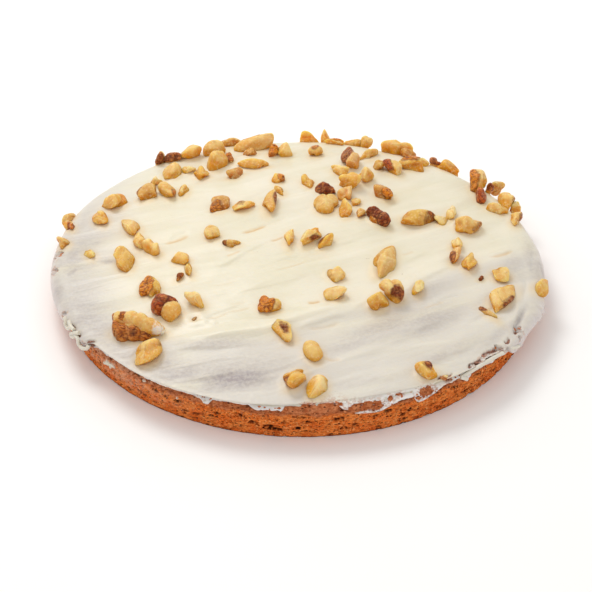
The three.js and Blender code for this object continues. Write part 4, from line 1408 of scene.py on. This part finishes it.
def bared(angle, z, radius):
    """1 inside the ragged bare spots of the frosting's edge."""
    rough = (np.sin(141 * angle + 1.9 * z) + np.sin(223 * angle - 2.7 * z + 1.0)
             + np.sin(331 * angle + 4.1 * z)) / 3
    depth = spots(angle, np.broadcast_to(z, angle.shape), bare_spots, radius)
    return smooth(depth + 0.22 * rough * (depth > 0), 0.12, 0.3)


def streak(x, y, places):
    """Strength of the nearest of some long soft ovals on the top."""
    total = np.zeros(len(x))
    for px, py, half_length, half_width, turn, strength in places:
        a = math.radians(turn)
        along = ((x - px) * math.cos(a) + (y - py) * math.sin(a)) / half_length
        across = (-(x - px) * math.sin(a) + (y - py) * math.cos(a)) / half_width
        total = np.maximum(total, strength * np.exp(-(along ** 2 + across ** 2)))
    return total


def scratch_marks(x, y):
    """Depth of the knife's scratches and how tan they are."""
    depth, tan = np.zeros(len(x)), np.zeros(len(x))
    for x0, y0, x1, y1, width, deep, colour in scratches:
        way = np.array([x1 - x0, y1 - y0], float)
        length = np.hypot(*way)
        along = ((x - x0) * way[0] + (y - y0) * way[1]) / length ** 2
        across = ((x - x0) * way[1] - (y - y0) * way[0]) / length
        bow = 0.06 * length * (1 - (2 * along - 1) ** 2)
        near = hump(across - bow, width) * smooth(along, -0.1, 0.2) * (1 - smooth(along, 0.8, 1.1))
        depth = np.maximum(depth, deep * near)
        tan = np.maximum(tan, colour * near)
    return depth, tan


def beside_walnuts(x, y):
    """How far the frosting rises against the walnuts, and a painted golden glow and warm shadow beside them,
    strongest on their lower right.
    """
    rise, painted_nut_glow = np.zeros(len(x)), np.zeros(len(x))
    for row in walnuts:
        px, py, length, width, height, turn = row[:6]
        near = np.flatnonzero((np.abs(x - px) < length) & (np.abs(y - py) < length))
        if not len(near):
            continue
        a = math.radians(turn)
        dx, dy = x[near] - px, y[near] - py
        along = (dx * math.cos(a) + dy * math.sin(a)) / (length / 2)
        across = (-dx * math.sin(a) + dy * math.cos(a)) / (width / 2)
        away = (np.hypot(along, across) - 0.92) * min(length, width) / 2
        away = np.maximum(away, 0)
        bank = min(0.12 * height, nut.rise_beside) * np.exp(-away / 1.3)
        rise[near] = np.maximum(rise[near], bank)
        # Painted glow and shadow, stronger on the front and the right of each piece.
        lower = 0.65 + 0.35 * (0.35 * dx - 0.94 * dy) / np.maximum(np.hypot(dx, dy), 0.1)
        painted_nut_glow[near] = np.maximum(painted_nut_glow[near], lower * hump(away, 2.0))
    return rise, painted_nut_glow


def top_place(share, angle):
    """A ring of points on the top, a share of the way out to where it rounds over."""
    radius = share * (frosted_radius(angle) - rounding(angle))
    x, y = radius * np.cos(angle), radius * np.sin(angle)
    height = frosting_top(x, y) + line_marks(x, y) + beside_walnuts(x, y)[0] - scratch_marks(x, y)[0]
    return np.column_stack([x, y, height])


def round_over(skin, edge, outer):
    """Rows down the rounded rim to the widest line, with slots, bare spots and the flap."""
    for step in range(1, frosting.rim_steps + 1):
        turn = 0.5 * math.pi * step / frosting.rim_steps
        out, down = math.sin(turn), 1 - math.cos(turn)
        radius = edge.outline - edge.rounding * (1 - out)
        x, y = radius * np.cos(edge.angle), radius * np.sin(edge.angle)
        rise = (knife_marks(x, y) + line_marks(x, y) + beside_walnuts(x, y)[0]) * (1 - out)
        slots = slotted(edge.angle, edge.outline - radius)
        z = cake.shoulder - (cake.shoulder - edge.lip) * down + rise - slots
        radius = radius + edge.flap * out ** 3
        pushed_in = np.minimum(radius, sponge_radius(edge.angle, z) - frosting.bare_depth)
        radius = mix(radius, pushed_in, bared(edge.angle, z, radius))
        row = skin.ring(polar(radius, edge.angle, z))
        skin.band(row, outer)
        outer = row
    return outer


def hang_down(skin, edge, outer):
    """Rows from the widest line to the ragged lower edge. Low down, it is a film smeared over the side."""
    smeared = smooth(frosting.smeared_below - edge.hem, 0.0, 0.9) * (1 - wrap(edge.angle))
    corner = CORNER_TOP + frosting.film
    over_corner = sponge_radius(edge.angle, CORNER_TOP) + frosting.film
    for step in range(1, frosting.hem_steps + 1):
        share = step / frosting.hem_steps
        z = mix(edge.lip, edge.hem, share)
        side = sponge_radius(edge.angle, z)
        plain = edge.outline - 0.5 * share + edge.flap * (1 - 0.3 * share)
        over = mix(over_corner, edge.outline, np.clip((z - corner) / (edge.lip - corner), 0, 1))
        bead = frosting.bead * hump(share - frosting.bead_at, frosting.bead_width)
        film = np.where(z > corner, over, side + frosting.film) + bead
        radius = mix(plain, film, smeared)
        radius = mix(radius, side - frosting.bare_depth, bared(edge.angle, z, radius))
        row = skin.ring(polar(radius, edge.angle, z))
        skin.band(row, outer)
        outer = row
    return outer


def close_under(skin, edge, outer):
    """The underside, a little above the sponge. It goes in further behind the bare spots."""
    angle = edge.angle
    behind = np.maximum.reduce([bared(angle, z, edge.outline) for z in np.linspace(13.0, 20.0, 15)])
    further_in = (frosting.bare_depth + frosting.under_bare) * behind
    middle_z = np.maximum(mix(edge.hem, CORNER_TOP, 0.5), WIDEST)
    top_z = CORNER_TOP + frosting.gap
    for z, clear in ((edge.hem + 0.05, -0.3), (middle_z, frosting.gap * 0.5), (top_z, frosting.gap)):
        radius = sponge_radius(angle, np.minimum(z, CORNER_TOP)) + clear - further_in
        row = skin.ring(polar(radius, angle, z))
        skin.band(row, outer)
        outer = row
    close_disc(skin, outer[::-1], sponge_radius(angle, CORNER_TOP)[::-1],
               lambda share: float(sponge_top(share)) + frosting.gap, turned=True)


def frosting_mesh():
    """The frosting's skin, and how many of its points are outside."""
    skin = Skin()
    angle = around(6 * frosting.rings)
    lip = lip_height(angle)
    hem = np.minimum(hem_height(angle), lip - frosting.least_hem)
    edge = Sizes(angle=angle, lip=lip, hem=hem, flap=flapped(angle), outline=frosted_radius(angle),
                 rounding=rounding(angle))
    outer = skin.disc(frosting.rings, top_place)
    outer = round_over(skin, edge, outer)
    outer = hang_down(skin, edge, outer)
    outside = skin.count
    close_under(skin, edge, outer)
    return skin.mesh("frosting_spread"), outside


def mark_frosting(mesh, outside):
    """Keeps what the knife's relief and the finish need; the points of the outside come first."""
    x, y, z = places_of(mesh).T
    angle, radius = np.arctan2(y, x), np.hypot(x, y)
    outline = frosted_radius(angle)
    inset, lip = outline - radius, lip_height(angle)
    above_hem, bare_front = z - hem_height(angle), 1 - wrap(angle)
    edge, slope = bowed(cream_edge, np.clip(x, cream_edge[0][0], cream_edge[-1][0]))
    before = (edge - y) / np.hypot(1, slope)
    calm = mix(0.55, 1.0, smooth(before, -30.0, 4.0))
    # Greyer just inside the rim: partly thinner cream, partly painted shade where it rounds away.
    rim_thin_and_shade = 0.16 * (1 - smooth(inset, 0.0, 9.0))
    film = 0.1 * smooth(lip - z, 0.1, 0.8) * smooth(above_hem, 0.25, 0.9) * bare_front
    slots = slotted(angle, inset)
    at_edge = smooth(radius - outline, -5.0, -3.0)
    wider = [(degrees, height, 1.9 * half_width, 1.9 * half_height)
             for degrees, height, half_width, half_height in bare_spots]
    marks = {
        "spread": smooth(above_hem, 0.6, 3.0) * mix(0.35, 1.0, smooth(inset, -1.0, 6.0)) * calm,
        "painted_nut_glow": beside_walnuts(x, y)[1],
        "scratch": scratch_marks(x, y)[1] * smooth(inset, 0, 2),
        # Greyer toward the front and at the left: partly a thinner veil of cream, partly painted shade.
        "veil_and_shade": np.clip(mix(0.9 * smooth(before, -2.0, 9.0), 1.0, 0.95 * smooth(-x, 74, 106)), 0, 1),
        "shade": smooth(cake.shoulder - z, 0.6, 5.0),
        # The smeared front hem below the lip, which the finish brightens as painted light.
        "film": smooth(lip - z, 0.0, 0.5) * bare_front,
        "bare": np.maximum(bared(angle, z, radius) * at_edge, smooth(slots, 0.45, 0.9)),
        "slot": smooth(slots, 0.2, 0.8),
        "scraped": smooth(spots(angle, z, wider, radius), 0.0, 0.45) * at_edge,
    }
    for name, values in marks.items():
        mark(mesh, name, values * (np.arange(len(x)) < outside))
    mark(mesh, "thin", np.clip(np.maximum.reduce([streak(x, y, thin_places), rim_thin_and_shade, film]), 0, 1))
    along, across = strokes(x, y)
    mark(mesh, "along", along)
    mark(mesh, "across", across)


def knife_drag():
    """Long fine ridges that follow the knife's sweeps, and the sharper edges that it left between them."""
    graph, sizes, output = new_relief("Knife Drag", [
        ("Ridge Spacing", 13.0), ("Ridge Length", 55.0), ("Ridge Height", 0.5),
        ("Edge Spacing", 26.0), ("Edge Length", 75.0), ("Edge Height", 0.26),
        ("Fine Spacing", 4.4), ("Fine Length", 30.0), ("Fine Height", 0.18),
        ("Dimple Size", 10.0), ("Dimple Depth", 0.16), ("Seed", 5.0)])
    along, across = read(graph, "along"), read(graph, "across")

    def drag(length, spacing, detail):
        place = graph.join(graph.maths("DIVIDE", along, length), graph.maths("DIVIDE", across, spacing),
                           sizes["Seed"])
        return graph.less(graph.noise(place, 1.0, detail, 0.5, 0.8), 0.5)

    ridge = graph.times(drag(sizes["Ridge Length"], sizes["Ridge Spacing"], 2.0), 2.0, sizes["Ridge Height"])
    sharp = graph.maths("ABSOLUTE", drag(sizes["Edge Length"], sizes["Edge Spacing"], 0.0))
    edge = graph.times(graph.between(sharp, 0.0, 0.07, 1.0, 0.0), sizes["Edge Height"])
    fine = graph.times(drag(sizes["Fine Length"], sizes["Fine Spacing"], 1.0), 2.0, sizes["Fine Height"])
    dimple = graph.ripple(millimetres(graph), graph.per(sizes["Dimple Size"]))
    height = graph.plus(ridge, edge, fine, graph.times(dimple, 2.0, sizes["Dimple Depth"]))
    height = graph.times(height, read(graph, "spread"))
    surface = raise_surface(graph, sizes["Surface"], height)
    # Kept for the painted highlight along the knife's sharp edges.
    surface = keep(graph, surface, "ridge", edge)
    close_relief(graph, surface, sizes, output)
    return graph.tree


def drag_streaks(graph, length, spacing, low, high, seed):
    """Streaks that follow the knife's sweeps, as a mask."""
    place = graph.join(graph.maths("DIVIDE", own(graph, "along"), length),
                       graph.maths("DIVIDE", own(graph, "across"), spacing), seed)
    return graph.between(graph.noise(place, 1.0, 3.0, 0.5, 0.8), low, high)


def cream_colour(graph):
    """Cream with paler sweeps, greyer toward the front and where it is thin, partly as painted shade; painted
    shade down the rim, a painted golden glow beside the walnuts, painted highlights on the knife's edges and
    painted light on the front hem.
    """
    cream = graph.blend(patches(graph, 34.0, 0.35, 0.65), paint(218, 210, 184), paint(223, 215, 193))
    grainy = graph.plus(0.72, graph.times(patches(graph, 1.7, 0.3, 0.7), 0.4))
    thin = graph.times(own(graph, "thin"), drag_streaks(graph, 24.0, 8.0, 0.0, 0.6, 11.0))
    return layered(
        graph, cream,
        (drag_streaks(graph, 70.0, 14.0, 0.35, 0.7, 3.0), 0.35, paint(236, 228, 210)),
        # Greyer toward the front: partly thinner cream, partly painted shade.
        (own(graph, "veil_and_shade"), drag_streaks(graph, 60.0, 15.0, 0.1, 0.6, 7.0), paint(210, 203, 192)),
        (own(graph, "shade"), 0.8, paint(220, 209, 207)),
        (thin, grainy, paint(148, 136, 134)),
        # Painted golden glow and warm shadow beside the walnuts.
        (own(graph, "painted_nut_glow"), 0.5, paint(224, 192, 132)),
        (own(graph, "scratch"), 1.0, paint(212, 174, 118)),
        # Painted highlight along the knife's sharp edges.
        (own(graph, "ridge"), 0.3, paint(238, 231, 214)),
        (specks(graph, 9.0, 0.07, 0.25), 0.35, paint(170, 150, 128)),
        # Painted light: the steep smeared hem brightened toward white.
        (own(graph, "film"), 0.5, paint(246, 240, 236)))


def bared_crust(graph):
    """The sponge's crust with some frosting left on it."""
    crust = graph.blend(patches(graph, 1.3, 0.4, 0.62), paint(150, 80, 46), paint(204, 124, 80))
    return layered(
        graph, crust,
        (specks(graph, 1.6, 0.36, 0.4), 0.7, paint(220, 176, 150)),
        (patches(graph, 1.2, 0.52, 0.62, flat=2.4), 0.75, paint(228, 208, 194)),
        (specks(graph, 2.1, 0.36, 0.4), 0.8, paint(70, 30, 18)))


def frosting_finish():
    """Soft cream cheese frosting, scraped and torn along its front edge, with painted shade in its torn
    slots.
    """
    material, graph, shader = new_finish("cream cheese frosting", roughness=0.42, subsurface_weight=0.2,
                                         subsurface_scale=0.003)
    shader.inputs["Subsurface Radius"].default_value = (1.0, 0.8, 0.55)
    scraped = own(graph, "scraped")
    smudges = graph.times(scraped, patches(graph, 1.8, 0.44, 0.6, flat=2.0))
    flecks = graph.times(scraped, specks(graph, 1.7, 0.4, 0.35, flat=1.6))
    # Painted shade in the torn slots.
    slot_shade = graph.times(own(graph, "slot"), patches(graph, 1.5, 0.3, 0.5))
    cream = layered(
        graph, cream_colour(graph),
        (smudges, 0.7, paint(186, 140, 114)),
        (flecks, 0.7, paint(104, 64, 44)),
        (graph.between(own(graph, "bare"), 0.35, 0.7), 1.0, bared_crust(graph)),
        (slot_shade, 0.85, paint(116, 78, 62)))
    graph.feed(shader.inputs["Base Color"], cream)
    height = graph.plus(
        graph.times(patches(graph, 2.5, 0.2, 0.8), 0.5), graph.times(patches(graph, 0.8, 0.2, 0.8), 0.2),
        drag_streaks(graph, 30.0, 2.2, 0.2, 0.8, 19.0))
    bump(graph, shader, height, 0.16, 0.6)
    return material


def make_frosting(material):
    mesh, outside = frosting_mesh()
    mark_frosting(mesh, outside)
    piece = place_piece("frosting_spread", mesh, material)
    return grow(piece, knife_drag(), material)


# Curls of torn frosting along the front edge, at its left end and at its right. Each point: degrees, inset
# from the outline, height, thickness.
curls = [
    [(-155.8, 0.3, 20.0, 0.25), (-155.0, 0.0, 19.2, 0.4), (-155.2, -0.3, 16.8, 0.5),
     (-154.2, -0.2, 16.0, 0.5), (-153.4, 0.2, 16.5, 0.4), (-152.8, 0.8, 17.8, 0.3)],
    [(-153.8, 0.8, 20.2, 0.2), (-153.0, 0.3, 19.5, 0.35), (-152.0, 0.1, 19.1, 0.4),
     (-150.8, 0.4, 19.3, 0.3)],
    [(-148.8, 1.0, 19.8, 0.25), (-150.2, 0.1, 18.4, 0.45), (-151.2, -0.1, 17.0, 0.5),
     (-152.5, -0.2, 14.6, 0.5), (-151.8, -0.1, 14.0, 0.5), (-150.3, 0.1, 16.2, 0.4),
     (-149.9, 0.8, 17.4, 0.3)],
    [(-150.5, 0.4, 17.4, 0.3), (-149.2, 0.0, 17.6, 0.5), (-148.1, -0.2, 17.4, 0.55),
     (-148.3, -0.3, 15.8, 0.55), (-148.0, -0.3, 14.4, 0.55), (-146.9, -0.3, 14.3, 0.6),
     (-145.8, 0.0, 14.8, 0.6), (-145.0, 1.0, 15.8, 0.5), (-144.9, 1.6, 17.6, 0.4)],
    [(-50.8, 3.0, 17.6, 0.4), (-48.2, 2.6, 18.6, 0.6), (-45.0, 2.3, 18.9, 0.7), (-41.6, 1.9, 18.8, 0.8),
     (-39.0, 1.4, 18.3, 0.6), (-37.6, 1.4, 17.2, 0.4)],
    [(-51.4, 3.0, 17.9, 0.4), (-50.4, 2.2, 16.9, 0.6), (-49.8, 2.0, 15.8, 0.5)],
    [(-35.6, 0.8, 17.6, 0.4), (-33.6, 0.2, 15.8, 0.6), (-31.6, 0.2, 13.6, 0.6), (-30.6, 1.2, 12.0, 0.4)],
]


def curl_sweep():
    """A round strand of frosting along each curve, as thick as the curve says."""
    inputs = [("Curve", GEOMETRY, None), ("Thickness", FLOAT, 1.0), ("Bead Depth", FLOAT, 0.2),
              ("Material", MATERIAL, None)]
    graph, sizes, output = new_tree("GeometryNodeTree", "Frosting Curl", inputs, [("Surface", GEOMETRY)])
    thickness = graph.times(sizes["Thickness"], MM)
    profile = graph.node("GeometryNodeCurvePrimitiveCircle", {"Resolution": 12, "Radius": thickness})
    swept = graph.node("GeometryNodeCurveToMesh", {
        "Curve": sizes["Curve"], "Profile Curve": profile.outputs[0], "Fill Caps": True})
    bead = graph.ripple(millimetres(graph), 0.6)
    surface = raise_surface(graph, swept.outputs[0], graph.times(bead, 2.0, sizes["Bead Depth"]))
    close_relief(graph, surface, sizes, output)
    return graph.tree


def make_curls(material):
    """A soft line for each curl, swept to a strand that thins out at its ends."""
    line = bpy.data.curves.new("curl_lines", "CURVE")
    line.dimensions = "3D"
    line.resolution_u = 8
    for curl in curls:
        spline = line.splines.new("NURBS")
        spline.points.add(len(curl) - 1)
        for point, (degrees, inset, z, thickness) in zip(spline.points, curl):
            a = math.radians(degrees)
            radius = float(cake_radius(np.float64(a))) - inset
            point.co = (radius * math.cos(a) * MM, radius * math.sin(a) * MM, z * MM, 1.0)
            point.radius = thickness
        spline.order_u = 3
        spline.use_endpoint_u = True
    piece = bpy.data.objects.new("curl_lines", line)
    bpy.context.scene.collection.objects.link(piece)
    mesh = grow(piece, curl_sweep(), material)
    mesh.shade_smooth()
    # Greyer strands: partly thin cream, partly painted shade.
    mark(mesh, "veil_and_shade", np.full(len(mesh.vertices), 0.7))
    return place_piece("frosting_curls", mesh, material)


# ---- Crumbs along the edge ---------------------------------------------------------------------------


def crumb_scatter():
    """Small crumbs scattered over a surface."""
    inputs = [("Surface", GEOMETRY, None), ("Crumbs Per Square Metre", FLOAT, 60000.0),
              ("Smallest", FLOAT, 0.3), ("Largest", FLOAT, 0.9), ("Roughness Depth", FLOAT, 0.7),
              ("Seed", "NodeSocketInt", 4), ("Material", MATERIAL, None)]
    graph, sizes, output = new_tree("GeometryNodeTree", "Crumb Scatter", inputs, [("Crumbs", GEOMETRY)])
    scattered = graph.node("GeometryNodeDistributePointsOnFaces", {
        "Mesh": sizes["Surface"], "Density": sizes["Crumbs Per Square Metre"], "Seed": sizes["Seed"]})
    crumb = graph.node("GeometryNodeMeshIcoSphere", {"Radius": MM, "Subdivisions": 2})

    def chance(low, high):
        inputs = {0: graph.join(low, low, low), 1: graph.join(high, high, high), "Seed": sizes["Seed"]}
        return graph.node("FunctionNodeRandomValue", inputs, data_type="FLOAT_VECTOR").outputs[0]

    laid = graph.node("GeometryNodeInstanceOnPoints", {
        "Points": scattered.outputs["Points"], "Instance": crumb.outputs[0],
        "Rotation": chance(0.0, 6.28), "Scale": chance(sizes["Smallest"], sizes["Largest"])})
    whole = graph.node("GeometryNodeRealizeInstances", {"Geometry": laid.outputs[0]}).outputs[0]
    rough = graph.ripple(millimetres(graph), 1.1)
    surface = raise_surface(graph, whole, graph.times(rough, sizes["Roughness Depth"]))
    surface = keep(graph, surface, "crust", 1.0)
    close_relief(graph, surface, sizes, output)
    return graph.tree


crumbs = Sizes(
    start=-148.0,           # degrees, the stretch of the front edge that they cling to
    end=-34.0,
    columns=400,
    low=WIDEST - 2.2,       # the lowest and the highest of them
    high=18.4,
    lift=0.15,              # off the side
    per_square_metre=90000.0,
)


def make_crumbs(material):
    """Loose crumbs clinging just under the frosting's front edge."""
    skin = Skin()
    angle = np.radians(np.linspace(crumbs.start, crumbs.end, crumbs.columns))
    rows = [skin.ring(polar(sponge_radius(angle, z) + crumbs.lift, angle, z))
            for z in (crumbs.low, WIDEST, crumbs.high)]
    for lower, upper in zip(rows, rows[1:]):
        skin.add(lower[:-1], lower[1:], upper[1:])
        skin.add(lower[:-1], upper[1:], upper[:-1])
    piece = place_piece("edge_crumbs", skin.mesh("edge_crumbs"), material)
    return grow(piece, crumb_scatter(), material, crumbs_per_square_metre=crumbs.per_square_metre)


# ---- Floor, light and camera -------------------------------------------------------------------------


def floor_finish():
    material, graph, shader = new_finish("pale floor", roughness=0.9)
    tint = graph.blend(patches(graph, 180.0, 0.3, 0.7), paint(246, 245, 243), paint(244, 243, 241))
    graph.feed(shader.inputs["Base Color"], tint)
    return material


def make_floor():
    half = 3000.0
    corners = half * np.array([[-1, -1, 0], [1, -1, 0], [1, 1, 0], [-1, 1, 0]])
    mesh = mesh_from("floor", corners, np.array([[0, 1, 2], [0, 2, 3]]))
    piece = place_piece("floor", mesh, floor_finish())


# Round soft lights: name, place and aim in metres, width, power, colour.
softboxes = [
    ("overhead softbox", (-0.32, 0.48, 0.88), (0, 0, 0), 0.5, 4.7, (1.0, 0.995, 0.985)),
    ("front fill", (0.25, -1.2, 0.55), (0, 0, 0.01), 0.9, 1.2, (1.0, 1.0, 1.0)),
]
room = Sizes(colour=(1.0, 0.995, 0.985, 1.0), strength=0.84)


def make_light():
    """A soft white room with two round lights."""
    world = bpy.data.worlds.new("soft white room")
    world.use_nodes = True
    background = world.node_tree.nodes["Background"]
    background.inputs["Color"].default_value = room.colour
    background.inputs["Strength"].default_value = room.strength
    bpy.context.scene.world = world
    for name, place, aim, size, power, colour in softboxes:
        light = bpy.data.lights.new(name, "AREA")
        light.shape, light.size, light.energy, light.color = "DISK", size, power, colour
        lamp = bpy.data.objects.new(name, light)
        lamp.location = place
        lamp.rotation_euler = (Vector(aim) - Vector(place)).to_track_quat("-Z", "Y").to_euler()
        bpy.context.scene.collection.objects.link(lamp)
    bpy.context.scene.view_settings.view_transform = "Standard"


view = Sizes(
    distance=0.75,          # metres, from the place that the camera aims at
    aim=(-0.0005, -0.0042, 0.0),
    elevation=35.5,         # degrees above the table
    focal=1477.0,           # of the lens, in the same unit as the picture's width
    picture=592,
    sensor=36.0,            # millimetres
)


def make_camera():
    """A camera in front of the cake, looking down at it."""
    data = bpy.data.cameras.new("camera")
    data.sensor_width = view.sensor
    data.lens = view.focal / view.picture * view.sensor
    data.clip_start, data.clip_end = 0.05, 20.0
    camera = bpy.data.objects.new("camera", data)
    down = math.radians(view.elevation)
    camera.location = Vector(view.aim) + view.distance * Vector((0.0, -math.cos(down), math.sin(down)))
    camera.rotation_euler = (math.pi / 2 - down, 0.0, 0.0)
    bpy.context.scene.collection.objects.link(camera)
    bpy.context.scene.camera = camera


# ---- Putting it together -----------------------------------------------------------------------------


def assemble():
    """Makes the pieces. They all ride on the one body, and the three main ones stand for the solids."""
    crumb = make_sponge()
    cream = frosting_finish()
    spread = make_frosting(cream)
    strands = make_curls(cream)
    large, small = make_walnuts()
    loose = make_crumbs(crumb.data.materials[0])
    for piece, slot in ((crumb, "sponge"), (spread, "frosting"), (strands, "frosting"), (large, "walnut"),
                        (small, "walnut"), (loose, "sponge")):
        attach(piece, "root")
    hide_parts("sponge")
    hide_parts("frosting")
    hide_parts(*[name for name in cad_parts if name.startswith("walnut_")])


assemble()
make_floor()
make_light()
make_camera()
